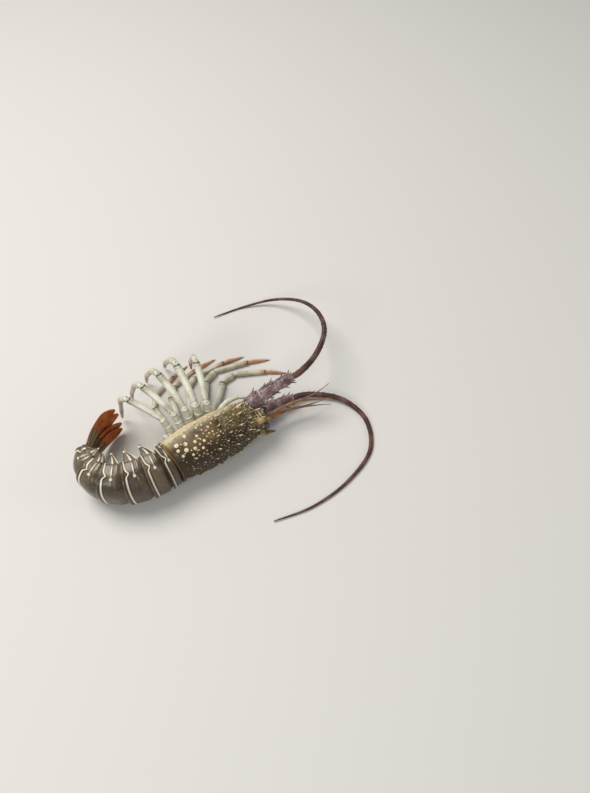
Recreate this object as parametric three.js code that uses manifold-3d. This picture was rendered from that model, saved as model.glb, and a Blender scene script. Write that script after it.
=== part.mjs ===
// A mud spiny lobster at life size, lying on its right side with the tail curled under the chest.
// The body is built with +X to the head, +Y to the animal's left and +Z to its back, in millimetres.
// The whole is turned at the end, so that the left side is up and the right side lies on the floor.
import * as THREE from 'three';
import { mergeVertices } from 'three/addons/utils/BufferGeometryUtils.js';
import Module from 'manifold-3d';

const wasm = await Module();
wasm.setup();

// Driving dimensions. A list of sizes stands evenly from the hind end of its piece to the front end.
const GAP = 0.3;
const THORN_SIDES = 5;
const FLOOR = 24.2;
const CARAPACE_LENGTH = 85;
const CARAPACE_WIDTHS = [23.4, 25, 24.6, 22.2, 17.6];
const CARAPACE_BACKS = [17.5, 20.6, 21.4, 19.8, 15.4];
const CARAPACE_BELLIES = [14, 16.8, 17, 15.8, 12];
const HIND_CORNER = 5;
const HIND_NOTCH = 6;
const FRONT_SLOPE = 5;
const HORN_REACH = 21.5;
const HORN_RADIUS = 3.9;
const EYE_RADIUS = 4.3;

// The chest plate is a wedge: where it begins and ends, its half-widths there, and its depths.
const STERNUM = { hind: 3, front: 56, hindHalf: 13.5, frontHalf: 4.6, top: 10, bottom: 22.6 };
const STERNUM_BARS = { first: 13, apart: 9.3, height: 0.7 };

// The tail: lengths of its six rings at hinge level, and the heading at each end of each ring. A heading
// of 0 degrees runs straight back and one of 90 degrees runs to the belly side. The fan is the seventh.
const TAIL_LENGTHS = [10, 15, 17, 17, 15.5, 17, 44];
const TAIL_HEADINGS = [0, 2, 10, 24, 49, 82, 128, 176];
const TAIL_WIDTHS = [22.8, 24.9, 25, 24.2, 22.6, 20, 16];
const TAIL_BACKS = [17.6, 19.6, 20.4, 20, 19, 16, 11];
const TAIL_BELLY = 8;
const PLEURON_DROPS = [11, 16.5, 16.5, 15.5, 14.5, 12];
const PLEOPOD_DROPS = [0, 19, 18, 14, 12, 0];

// The five blades of the fan: where each starts across the tail, how far it splays, its half-width, its
// length as a share of the fan, and the level it lies on.
const BLADES = {
  telson: { middle: 0, splay: 0, halfWidth: 9.5, length: 1, level: 3.2 },
  uropod_inner_left: { middle: 7.5, splay: 5, halfWidth: 8.2, length: 0.97, level: 1 },
  uropod_inner_right: { middle: -7.5, splay: -5, halfWidth: 8.2, length: 0.97, level: 1 },
  uropod_outer_left: { middle: 9.5, splay: 8.5, halfWidth: 8, length: 0.92, level: -1.2 },
  uropod_outer_right: { middle: -9.5, splay: -8.5, halfWidth: 8, length: 0.92, level: -1.2 },
};

// The legs, first to fifth: where each grows along the chest and how large it is. Then for the upper and
// the lower side the height of each joint over the floor, and the heading of each length in plan from the
// first leg to the fifth. 0 degrees runs to the belly side and a positive heading towards the head.
const LEG_ROOTS = [50, 41, 32, 22.5, 13];
const LEG_SIZES = [0.97, 1.04, 1, 0.94, 0.88];
const LEG_LENGTHS = { base: 18, merus: 40, carpus: 15, propodus: 34, dactyl: 20 };
const LEG_ROOT_DEPTH = 20.5;
const UPPER_HEIGHTS = [48, 58, 49, 20, 0.9];
const UPPER_HEADINGS = {
  base: [14, -20], merus: [18, -30], carpus: [10, -27], propodus: [4, -24], dactyl: [2, -24],
};
const LOWER_HEIGHTS = [8.2, 3.9, 3.1, 2.3, 0.6];
const LOWER_HEADINGS = {
  base: [30, 0], merus: [45, 2], carpus: [84, 28], propodus: [118, 68], dactyl: [126, 76],
};

// The stations of a leg: [length number, share along it, half-size].
const LEG_BASE_MARKS = [[0, 0, 4.3], [0, 0.45, 4.3], [0, 0.62, 3.5], [0, 0.7, 3.9], [0, 1, 3.3]];
const LEG_MERUS_MARKS = [[1, 0, 3.2], [1, 0.2, 3.7], [1, 0.65, 3.9], [1, 0.92, 3.8], [1, 1, 2.9]];
const LEG_SHANK_MARKS = [
  [2, 0, 2.9], [2, 0.3, 3.2], [2, 0.8, 3.3], [3, 0, 2.4], [3, 0.14, 2.9], [3, 0.6, 2.5], [3, 0.95, 2.3],
  [4, 0, 1.8], [4, 0.2, 2], [4, 0.65, 1.3], [4, 1, 0.3],
];

const PALETTE = {
  shell: ['#6f6a54', 0.5],
  tail: ['#5f5b49', 0.35],
  pale: ['#d9d2bd', 0.5],
  limb: ['#cfc9ae', 0.45],
  antenna: ['#8d7890', 0.5],
  whip: ['#4d2f35', 0.5],
  fan: ['#c4552c', 0.45],
  eye: ['#2a1a14', 0.15],
};

const RAD = Math.PI / 180;
const TURN = 2 * Math.PI;

function vec(x, y, z) {
  return new THREE.Vector3(x, y, z);
}

// A smooth value between a few sizes that stand evenly from share 0 to share 1.
function sizeAt(sizes, share) {
  const curve = new THREE.SplineCurve(sizes.map((size, i) => new THREE.Vector2(i, size)));
  return curve.getPoint(share).y;
}

// A cosine or sine raised to a power with its sign kept, which makes a round section squarer.
function squared(value, power) {
  return Math.sign(value) * Math.abs(value) ** power;
}

// Joins

function toSolid(geometry) {
  const bare = geometry.clone();
  for (const name of Object.keys(bare.attributes)) {
    if (name !== 'position') {
      bare.deleteAttribute(name);
    }
  }
  const merged = mergeVertices(bare, 1e-4);
  const vertProperties = new Float32Array(merged.getAttribute('position').array);
  const triVerts = new Uint32Array(merged.getIndex().array);
  const solid = new wasm.Manifold(new wasm.Mesh({ numProp: 3, vertProperties, triVerts }));
  return solid.volume() < 0 ? toSolid(flipped(merged)) : solid;
}

function flipped(geometry) {
  const index = Array.from(geometry.getIndex().array);
  for (let i = 0; i < index.length; i += 3) {
    [index[i], index[i + 1]] = [index[i + 1], index[i]];
  }
  const turned = geometry.clone();
  turned.setIndex(index);
  return turned;
}

// The largest closed surface of a solid, as a geometry.
function toGeometry(solid) {
  const parts = solid.decompose();
  parts.sort((a, b) => b.volume() - a.volume());
  const mesh = parts[0].getMesh();
  const geometry = new THREE.BufferGeometry();
  geometry.setAttribute('position', new THREE.BufferAttribute(new Float32Array(mesh.vertProperties), 3));
  geometry.setIndex(Array.from(mesh.triVerts));
  return geometry;
}

// One closed body from a core, what is fused to it and what it has to stay clear of.
function fuse(core, grown = [], clearOf = []) {
  let solid = toSolid(core);
  for (const piece of grown) {
    solid = solid.add(toSolid(piece));
  }
  for (const blocker of clearOf) {
    solid = solid.subtract(toSolid(blocker));
  }
  return toGeometry(solid);
}

// Shapes

// A closed tube. place(turn, share, reach) gives each point: the turn round the tube in radians, the share
// of the way along it, and a reach of 1 on the wall or 0 in the middle of an end.
function closedTube(sides, steps, place) {
  const tube = new THREE.CylinderGeometry(1, 1, 1, sides, steps);
  tube.deleteAttribute('normal');
  tube.deleteAttribute('uv');
  const merged = mergeVertices(tube, 1e-4);
  const at = merged.getAttribute('position');
  for (let i = 0; i < at.count; i += 1) {
    const reach = Math.round(Math.hypot(at.getX(i), at.getZ(i)));
    const point = place(Math.atan2(at.getX(i), at.getZ(i)), at.getY(i) + 0.5, reach);
    at.setXYZ(i, point.x, point.y, point.z);
  }
  return merged;
}

// A tube through stations, each with its middle, the way it faces and its two half-sizes.
function loft(stations, sides, up = vec(0, 0, 1)) {
  return closedTube(sides, stations.length - 1, (turn, share, reach) => {
    const station = stations[Math.round(share * (stations.length - 1))];
    const facing = station.facing.clone().normalize();
    const deep = up.clone().addScaledVector(facing, -up.dot(facing)).normalize();
    const wide = facing.clone().cross(deep);
    const point = station.at.clone();
    point.addScaledVector(deep, reach * station.deep * Math.cos(turn));
    return point.addScaledVector(wide, reach * station.wide * Math.sin(turn));
  });
}

// Stations evenly along a curve. radiusAt(share) gives the half-size at each.
function stationsAlong(curve, steps, radiusAt, flatness = 1) {
  const stations = [];
  for (let i = 0; i <= steps; i += 1) {
    const share = i / steps;
    const radius = radiusAt(share);
    const at = curve.getPointAt(share);
    stations.push({ at, facing: curve.getTangentAt(share), wide: radius, deep: radius * flatness });
  }
  return stations;
}

// A straight-sided thorn with its root sunk under the skin.
function thorn(root, direction, length, radius) {
  const sunk = 0.35 * length + 0.6;
  const cone = new THREE.ConeGeometry(radius, length + sunk, THORN_SIDES, 1);
  cone.translate(0, (length - sunk) / 2, 0);
  const way = direction.clone().normalize();
  cone.applyQuaternion(new THREE.Quaternion().setFromUnitVectors(vec(0, 1, 0), way));
  cone.translate(root.x, root.y, root.z);
  return cone;
}

// Carapace

// A point of the carapace. Turn 0 is the middle of the back and a quarter turn is the left flank.
function carapacePoint(turn, share, swell = 0) {
  const side = Math.sin(turn);
  const up = Math.cos(turn);
  const hind = -HIND_CORNER + HIND_NOTCH * (1 + up) / 2;
  const front = CARAPACE_LENGTH - FRONT_SLOPE * (1 - up) / 2;
  const rim = 1.1 * Math.exp(-((share / 0.02) ** 2)) - 1.0 * Math.exp(-(((share - 0.06) / 0.025) ** 2));
  const groove = -1.5 * Math.exp(-(((share - neckShare(up)) / 0.035) ** 2)) * (up > -0.4 ? 1 : 0);
  const relief = swell + rim + groove;
  const height = up > 0 ? sizeAt(CARAPACE_BACKS, share) : sizeAt(CARAPACE_BELLIES, share);
  const x = hind + share * (front - hind) + swell * (2 * share - 1);
  const y = squared(side, 0.85) * (sizeAt(CARAPACE_WIDTHS, share) + relief);
  const z = squared(up, up > 0 ? 0.92 : 0.5) * (height + relief);
  return vec(x, y, z);
}

// Where the neck groove crosses: it runs forward as it goes down the flanks.
function neckShare(up) {
  return 0.52 + 0.11 * (1 - up);
}

function carapaceTube(sides, steps, swell = 0) {
  const middleOfEnd = (share) => vec(share < 0.5 ? 1 - swell : CARAPACE_LENGTH - 2.4 + swell, 0, 2);
  return closedTube(sides, steps, (turn, share, reach) => {
    return reach === 0 ? middleOfEnd(share) : carapacePoint(turn, share, swell);
  });
}

// The way out of the carapace at a point, leaning forward as its thorns do.
function carapaceOut(turn, share, lean) {
  const here = carapacePoint(turn, share);
  const round = carapacePoint(turn + 0.02, share).sub(here);
  const forward = carapacePoint(turn, share + 0.01).sub(here);
  const out = forward.clone().cross(round).normalize();
  out.multiplyScalar(out.y * here.y + out.z * here.z < 0 ? -1 : 1);
  return out.addScaledVector(forward.normalize(), lean).normalize();
}

// Rows of thorns down both sides, larger towards the head.
function carapaceThorns() {
  const thorns = [];
  const rowTurns = [13, 34, 56, 80, 101];
  for (const side of [1, -1]) {
    rowTurns.forEach((degrees, row) => {
      const count = 7 - (row % 2);
      for (let i = 0; i < count; i += 1) {
        const share = 0.13 + (i + 0.5 * (row % 2)) * 0.125;
        const turn = side * (degrees + 4 * Math.sin(2.1 * i + row)) * RAD;
        const length = 1.7 + 3.1 * share ** 2 + 0.7 * Math.sin(3.3 * i + 1.7 * row);
        if (side < 0 && degrees > 60 && degrees < 110) {
          continue;
        }
        const root = carapacePoint(turn, share);
        thorns.push(thorn(root, carapaceOut(turn, share, 0.9), length, 0.9 + 0.22 * length));
      }
    });
    for (const [degrees, length] of [[40, 7], [72, 7.5]]) {
      const root = carapacePoint(side * degrees * RAD, 0.965);
      thorns.push(thorn(root, vec(1, 0.22 * side, 0.16), length, 1.9));
    }
  }
  return thorns;
}

// The pair of horns over the eyes, curving forward and up.
function horn(side) {
  const curve = new THREE.QuadraticBezierCurve3(
    vec(CARAPACE_LENGTH - 11, side * 10.2, 10.5),
    vec(CARAPACE_LENGTH - 0.5, side * 13, 14.5),
    vec(CARAPACE_LENGTH - 11 + HORN_REACH, side * 12.8, 19.2),
  );
  return loft(stationsAlong(curve, 5, (share) => HORN_RADIUS * (1 - share) ** 0.8 + 0.3, 1.1), 8);
}

function carapace() {
  return fuse(carapaceTube(32, 20), [horn(1), horn(-1), ...carapaceThorns()]);
}

// Chest plate and head

function sternumHalf(x) {
  const share = (x - STERNUM.hind) / (STERNUM.front - STERNUM.hind);
  return STERNUM.hindHalf + (STERNUM.frontHalf - STERNUM.hindHalf) * share;
}

// The chest plate is a wedge, narrow in front, with a low bar between each pair of legs.
function sternumBlock(swell = 0) {
  const block = new THREE.BoxGeometry(1, 1, 1, 12, 4, 1);
  const at = block.getAttribute('position');
  for (let i = 0; i < at.count; i += 1) {
    const x = STERNUM.hind + (at.getX(i) + 0.5) * (STERNUM.front - STERNUM.hind) + 2 * swell * at.getX(i);
    const wave = Math.cos((x - STERNUM_BARS.first) / STERNUM_BARS.apart * TURN);
    const bar = STERNUM_BARS.height * wave - 1.6 * (2 * at.getY(i)) ** 4;
    const z = at.getZ(i) > 0 ? -STERNUM.top + swell : -STERNUM.bottom - bar - swell;
    at.setXYZ(i, x, 2 * at.getY(i) * (sternumHalf(x) + swell), z);
  }
  return block;
}

function ellipsoid(middle, halfX, halfY, halfZ, sides = 14, rings = 8) {
  const ball = new THREE.SphereGeometry(1, sides, rings);
  ball.scale(halfX, halfY, halfZ);
  ball.translate(middle.x, middle.y, middle.z);
  return ball;
}

// The plate between the antennae with its two small thorns, and the upper lip under it.
function headFront(swollenCarapace) {
  const plate = ellipsoid(vec(83, 0, -1), 10.5, 5.6, 9.5);
  const lip = ellipsoid(vec(78, 0, -11), 7.5, 5.2, 5.2, 12, 6);
  const thorns = [1, -1].map((side) => thorn(vec(92, side * 2.6, -1), vec(1, side * 0.2, 0.3), 4, 1.3));
  return fuse(plate, [lip, ...thorns], [swollenCarapace]);
}

// An eye on its short stalk, under the horn.
function eye(side, swollenCarapace) {
  const root = vec(CARAPACE_LENGTH - 5, side * 8, 7.5);
  const globe = vec(CARAPACE_LENGTH + 5.2, side * 13.6, 8.6);
  const facing = globe.clone().sub(root).normalize();
  const stations = [0, 0.45].map((share) => {
    return { at: root.clone().lerp(globe, share), facing, wide: 3, deep: 3 };
  });
  for (const degrees of [128, 104, 80, 56, 30, 6]) {
    const radius = EYE_RADIUS * Math.sin(degrees * RAD) + 0.05;
    const at = globe.clone().addScaledVector(facing, EYE_RADIUS * Math.cos(degrees * RAD));
    stations.push({ at, facing, wide: radius, deep: radius });
  }
  return fuse(loft(stations, 12), [], [swollenCarapace]);
}

// Limbs

// Stations of a jointed limb: each mark is [length number, share along it, half-size]. Where two lengths
// meet, the station faces half way between them, so that the ends of neighbouring nodes are parallel.
function limbStations(joints, marks, flatness = 1) {
  const way = (i) => joints[i + 1].clone().sub(joints[i]).normalize();
  const lengths = joints.length - 1;
  return marks.map(([i, share, radius]) => {
    const at = joints[i].clone().lerp(joints[i + 1], share);
    const facing = way(i);
    if (share === 1 && i + 1 < lengths) {
      facing.add(way(i + 1));
    }
    if (share === 0 && i > 0) {
      facing.add(way(i - 1));
    }
    facing.normalize();
    return { at, facing, wide: radius, deep: radius * flatness };
  });
}

// Takes half a gap off one end of a run of stations.
function backOff(stations, which) {
  const station = stations.at(which);
  station.at.addScaledVector(station.facing, which === 0 ? GAP / 2 : -GAP / 2);
  return stations;
}

// The joints of a leg, from its root to its tip, from headings in plan and heights over the floor.
function legJoints(side, index) {
  const upper = side > 0;
  const size = LEG_SIZES[index];
  const heights = upper ? UPPER_HEIGHTS : LOWER_HEIGHTS;
  const headings = upper ? UPPER_HEADINGS : LOWER_HEADINGS;
  const rootX = LEG_ROOTS[index];
  const joints = [vec(rootX, side * (sternumHalf(rootX) - 1), -LEG_ROOT_DEPTH)];
  Object.keys(LEG_LENGTHS).forEach((name, i) => {
    const from = joints.at(-1);
    const length = LEG_LENGTHS[name] * size;
    const [first, last] = headings[name];
    const heading = (first + (last - first) * index / 4) * RAD;
    const target = heights[i] - FLOOR;
    const rise = THREE.MathUtils.clamp(target - from.y, -0.97 * length, 0.97 * length);
    const flat = Math.sqrt(length ** 2 - rise ** 2);
    joints.push(vec(from.x + flat * Math.sin(heading), from.y + rise, from.z - flat * Math.cos(heading)));
  });
  return joints;
}

function leg(side, index, blockers) {
  const joints = legJoints(side, index);
  const size = LEG_SIZES[index];
  const scaled = (marks) => marks.map(([i, share, radius]) => [i, share, radius * size]);
  const base = backOff(limbStations(joints, scaled(LEG_BASE_MARKS), 0.9), -1);
  const merus = backOff(backOff(limbStations(joints, scaled(LEG_MERUS_MARKS), 0.86), 0), -1);
  const shank = backOff(limbStations(joints, scaled(LEG_SHANK_MARKS), 0.9), 0);
  const across = vec(1, 0, 0);
  const knee = joints[2].clone().addScaledVector(joints[2].clone().sub(joints[1]).normalize(), -1.5);
  const spur = thorn(knee.add(vec(0, 2.6 * side * size, 0)), vec(0, side * 0.8, -0.6), 2.6, 1.1);
  return {
    base: fuse(loft(base, 8, across), [], blockers),
    merus: fuse(loft(merus, 8, across), [spur]),
    shank: loft(shank, 7, across),
  };
}

// Antennae

// The joints of an antenna's stout arm. The upper one stands off the head and the lower one stays level.
function antennaJoints(side) {
  const spread = side > 0 ? [9.5, 14.5, 18.5, 22] : [9.5, 13, 15, 16.5];
  return [
    vec(78, side * spread[0], -4.5), vec(97, side * spread[1], -6),
    vec(113, side * spread[2], -5), vec(129, side * spread[3], -3),
  ];
}

function ringOfThorns(stations, count, length, phase) {
  const up = vec(0, 0, 1);
  return stations.flatMap(({ at, facing, wide }, row) => {
    const deep = up.clone().addScaledVector(facing, -up.dot(facing)).normalize();
    const across = facing.clone().cross(deep);
    return Array.from({ length: count }, (_, i) => {
      const turn = (i + 0.5 * (row % 2)) / count * TURN + phase;
      const out = deep.clone().multiplyScalar(Math.cos(turn)).addScaledVector(across, Math.sin(turn));
      const root = at.clone().addScaledVector(out, wide * 0.92);
      return thorn(root, out.addScaledVector(facing, 1.1), length, 0.28 * length);
    });
  });
}

function antennaBase(side, swollenCarapace, swollenPlate) {
  const marks = [[0, 0, 7.4], [0, 0.4, 7.9], [0, 0.8, 7.6], [0, 1, 6.4]];
  const stations = backOff(limbStations(antennaJoints(side), marks, 0.95), -1);
  const thorns = ringOfThorns([stations[2]], 6, 4.2, 0.3);
  return fuse(loft(stations, 12), thorns, [swollenCarapace, swollenPlate]);
}

function antennaArm(side) {
  const marks = [
    [1, 0, 6.3], [1, 0.5, 6.4], [1, 0.95, 6.2], [2, 0.06, 5.2], [2, 0.5, 5.4], [2, 0.9, 4.6], [2, 1, 3.4],
  ];
  const joints = antennaJoints(side);
  const stations = backOff(limbStations(joints, marks), 0);
  const rows = limbStations(joints, [[1, 0.35, 6.3], [1, 0.8, 6.2], [2, 0.4, 5.4], [2, 0.85, 5]]);
  return fuse(loft(stations, 12), ringOfThorns(rows, 5, 3.8, 0.2));
}

// The long whip of each antenna. Both run out forward and bend round to lie on the floor.
function whipCurve(side) {
  const [, , elbow, end] = antennaJoints(side);
  const straight = end.clone().sub(elbow).normalize();
  const start = [end.clone().addScaledVector(straight, GAP), end.clone().addScaledVector(straight, 7)];
  const low = 1.6 - FLOOR;
  const route = side > 0
    ? [vec(158, 27, -8), vec(184, 22, -30), vec(197, 10, -62), vec(196, -4, -92), vec(180, -16, -116),
      vec(152, low, -130), vec(118, low, -136)]
    : [vec(150, -19, 4), vec(170, -20.6, 24), vec(176, low, 52), vec(160, low, 80), vec(124, low, 94),
      vec(84, low, 96), vec(48, low, 88)];
  return new THREE.CatmullRomCurve3([...start, ...route], false, 'centripetal');
}

function whip(side, fromShare, toShare, steps) {
  const curve = whipCurve(side);
  const span = curve.getLength();
  const begin = fromShare + (fromShare > 0 ? GAP / span : 0);
  const stations = [];
  for (let i = 0; i <= steps; i += 1) {
    const share = begin + (toShare - begin) * i / steps;
    const radius = 2.5 * (1 - share) ** 0.75 + 0.5;
    const at = curve.getPointAt(share);
    stations.push({ at, facing: curve.getTangentAt(share), wide: radius, deep: radius });
  }
  return loft(stations, 6, vec(0.1, 1, 0.1));
}

// The small forked feelers between the antennae.
function antennule(side, blockers) {
  const stalk = new THREE.CatmullRomCurve3([
    vec(86, side * 2.6, 6), vec(97, side * 3.6, 9), vec(112, side * 5, 10.5), vec(127, side * 6.5, 14),
  ]);
  const outer = new THREE.QuadraticBezierCurve3(
    vec(125, side * 6.4, 13.6), vec(142, side * 8, 18), vec(156, side * 13, 17),
  );
  const inner = new THREE.QuadraticBezierCurve3(
    vec(125, side * 6.2, 13.6), vec(140, side * 5, 21), vec(152, side * 5.6, 28),
  );
  const thin = (share) => 0.95 - 0.6 * share;
  return fuse(
    loft(stationsAlong(stalk, 7, (share) => 1.9 - 0.55 * share + 0.25 * Math.cos(3 * TURN * share)), 6),
    [outer, inner].map((curve) => loft(stationsAlong(curve, 5, thin), 5)),
    blockers,
  );
}

// A leg-like mouth part that lies along the throat.
function maxilliped(side, blockers) {
  const curve = new THREE.CatmullRomCurve3([
    vec(59, side * 5.6, -18.5), vec(69, side * 7.2, -21.5),
    vec(80, side * 6.4, -20.8), vec(89, side * 4.4, -15.5),
  ]);
  return fuse(loft(stationsAlong(curve, 7, (share) => 2.9 - 1.9 * share ** 2), 8), [], blockers);
}

// Tail

const tailStarts = [vec(-HIND_CORNER + HIND_NOTCH + GAP, 0, -0.5)];
TAIL_LENGTHS.forEach((length, i) => {
  tailStarts.push(tailStarts[i].clone().add(tailStep(i, length, 1)));
});

// How far the middle line of ring i has gone at a share of its length. The line is an arc of a circle.
function tailStep(i, length, share) {
  const turned = (TAIL_HEADINGS[i + 1] - TAIL_HEADINGS[i]) * RAD * share;
  const chord = length * share * Math.sin(turned / 2 + 1e-9) / (turned / 2 + 1e-9);
  const heading = TAIL_HEADINGS[i] * RAD + turned / 2;
  return vec(-chord * Math.cos(heading), 0, -chord * Math.sin(heading));
}

// A point of the bent tail: ring i, the share along it, how far left, and how far to the back side.
function tailPoint(i, share, left, out) {
  const heading = (TAIL_HEADINGS[i] + (TAIL_HEADINGS[i + 1] - TAIL_HEADINGS[i]) * share) * RAD;
  const point = tailStarts[i].clone().add(tailStep(i, TAIL_LENGTHS[i], share));
  return point.add(vec(-out * Math.sin(heading), left, out * Math.cos(heading)));
}

// A ring of tail shell: low where it slides under the ring before it, raised at its hind rim.
function ringPoint(i, turn, share, reach) {
  const side = Math.sin(turn);
  const up = Math.cos(turn);
  const halfWidth = THREE.MathUtils.lerp(TAIL_WIDTHS[i], TAIL_WIDTHS[i + 1], share);
  const back = THREE.MathUtils.lerp(TAIL_BACKS[i], TAIL_BACKS[i + 1], share);
  const relief = -1.9 * Math.exp(-((share / 0.16) ** 2)) + 0.7 * Math.exp(-(((share - 0.95) / 0.1) ** 2));
  const height = up > 0 ? back + relief : TAIL_BELLY;
  const trimmed = THREE.MathUtils.lerp(GAP / TAIL_LENGTHS[i], 1 - GAP / TAIL_LENGTHS[i], share);
  const left = reach * squared(side, 0.8) * (halfWidth + relief * (up > -0.5 ? 1 : 0));
  return tailPoint(i, trimmed, left, reach * squared(up, up > 0 ? 0.9 : 0.4) * height);
}

// The hook at the lower edge of a ring, curving back to a point.
function pleuron(i, side) {
  const halfWidth = (TAIL_WIDTHS[i] + (TAIL_WIDTHS[i + 1])) / 2;
  return closedTube(6, 4, (turn, share, reach) => {
    const depth = THREE.MathUtils.lerp(2, PLEURON_DROPS[i], share);
    const long = 0.4 * (1 - share) ** 0.8 + 0.02;
    const middle = 0.5 + 0.3 * share ** 1.6;
    const thick = 1.5 - 1.0 * share;
    const left = side * (halfWidth * (0.93 - 0.06 * share ** 2) + reach * thick * Math.sin(turn));
    return tailPoint(i, middle + reach * long * Math.cos(turn), left, -depth);
  });
}

// A leaf-shaped swimming flap under a ring.
function pleopod(i, side) {
  return closedTube(6, 4, (turn, share, reach) => {
    const depth = THREE.MathUtils.lerp(TAIL_BELLY - 3, PLEOPOD_DROPS[i], share);
    const wide = 2.2 + 4.6 * Math.sin(Math.PI * (0.1 + 0.82 * share)) ** 0.8;
    const left = side * (12.5 + 1.5 * share) + reach * wide * Math.sin(turn);
    const thick = 0.9 / TAIL_LENGTHS[i];
    return tailPoint(i, 0.42 + 0.34 * share + reach * thick * Math.cos(turn), left, -depth);
  });
}

function tailRing(i, blockers) {
  const ring = closedTube(24, 5, (turn, share, reach) => ringPoint(i, turn, share, reach));
  const grown = [1, -1].flatMap((side) => {
    const flaps = PLEOPOD_DROPS[i] > 0 ? [pleopod(i, side)] : [];
    return [pleuron(i, side), ...flaps];
  });
  return fuse(ring, grown, blockers);
}

// A blade of the tail fan: it widens from its root, and its end is thin and rounded.
function blade({ middle, splay, halfWidth, length, level }) {
  const plate = new THREE.BoxGeometry(1, 1, 1, 10, 1, 6);
  const at = plate.getAttribute('position');
  for (let n = 0; n < at.count; n += 1) {
    const along = at.getZ(n) + 0.5;
    const across = 2 * at.getX(n);
    const widening = 0.55 + 0.45 * Math.sin(Math.PI / 2 * Math.min(1, along / 0.7));
    const rounding = 1 - 0.45 * Math.max(0, (along - 0.7) / 0.3) ** 3;
    const leaf = halfWidth * widening * rounding;
    const ray = at.getY(n) > 0 ? 0.28 * Math.cos(5 * Math.PI * across) * Math.min(1, 3 * along) : 0;
    const reachAlong = (0.03 + 0.97 * along * (1 - 0.13 * across ** 2)) * length;
    const left = middle + splay * along * length + leaf * across;
    const point = tailPoint(6, reachAlong, left, level + at.getY(n) * (1.5 - 0.5 * along) + ray);
    at.setXYZ(n, point.x, point.y, point.z);
  }
  return fuse(plate);
}

// Assembly

const materials = Object.fromEntries(Object.entries(PALETTE).map(([name, [color, roughness]]) => {
  return [name, new THREE.MeshStandardMaterial({ color, roughness, metalness: 0 })];
}));
const lobster = new THREE.Group();
const body = new THREE.Group();
lobster.add(body);

// Everything that reaches the floor is cut flat there.
const slab = new THREE.BoxGeometry(900, 40, 900);
slab.translate(0, -FLOOR - 20, 0);

function add(name, geometry, material) {
  geometry.computeBoundingBox();
  const reachesFloor = geometry.boundingBox.min.y < -FLOOR;
  const mesh = new THREE.Mesh(reachesFloor ? fuse(geometry, [], [slab]) : geometry, materials[material]);
  mesh.name = name;
  body.add(mesh);
}

const swollenCarapace = carapaceTube(32, 20, GAP + 0.05);
const swollenSternum = sternumBlock(GAP);
const swollenPlate = ellipsoid(vec(83, 0, -1), 10.9, 6, 9.9);
const sides = { left: 1, right: -1 };

add('carapace', carapace(), 'shell');
add('sternum', fuse(sternumBlock(), [], [swollenCarapace]), 'pale');
add('head_front', headFront(swollenCarapace), 'shell');
PLEURON_DROPS.forEach((_, i) => {
  add(`abdomen_${i + 1}`, tailRing(i, i === 0 ? [swollenCarapace, swollenSternum] : []), 'tail');
});
for (const [name, sizes] of Object.entries(BLADES)) {
  add(name, blade(sizes), 'fan');
}
for (const [name, side] of Object.entries(sides)) {
  add(`eye_${name}`, eye(side, swollenCarapace), 'eye');
  add(`antennule_${name}`, antennule(side, [swollenCarapace, swollenPlate]), 'pale');
  add(`antenna_base_${name}`, antennaBase(side, swollenCarapace, swollenPlate), 'antenna');
  add(`antenna_arm_${name}`, antennaArm(side), 'antenna');
  add(`whip_near_${name}`, whip(side, 0, 0.5, 13), 'whip');
  add(`whip_far_${name}`, whip(side, 0.5, 1, 13), 'whip');
  add(`maxilliped_${name}`, maxilliped(side, [swollenCarapace, swollenSternum]), 'limb');
  LEG_ROOTS.forEach((_, index) => {
    const pieces = leg(side, index, [swollenCarapace, swollenSternum]);
    for (const [piece, geometry] of Object.entries(pieces)) {
      add(`leg_${name}_${index + 1}_${piece}`, geometry, 'limb');
    }
  });
}

// The left side is turned up, and the lowest middle point of the whole becomes the origin.
body.rotation.x = Math.PI / 2;
lobster.updateMatrixWorld(true);
const bounds = new THREE.Box3().setFromObject(lobster, true);
const middle = bounds.getCenter(new THREE.Vector3());
body.position.set(-middle.x, -middle.y, -bounds.min.z);

export default lobster;
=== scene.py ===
# %% [markdown]
# # A mud spiny lobster at life size
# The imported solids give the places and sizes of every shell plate. This lesson dresses each of them with a
# fine surface: a function of two parameters on a grid, worked out by numpy as whole arrays. Lengths are in
# millimetres in the body's own frame (+X to the head, +Y to the animal's left, +Z to its back) and one
# function turns them into the frame of the solids, in metres, where the left flank is up.

# %% Load the solids
import math

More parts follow.
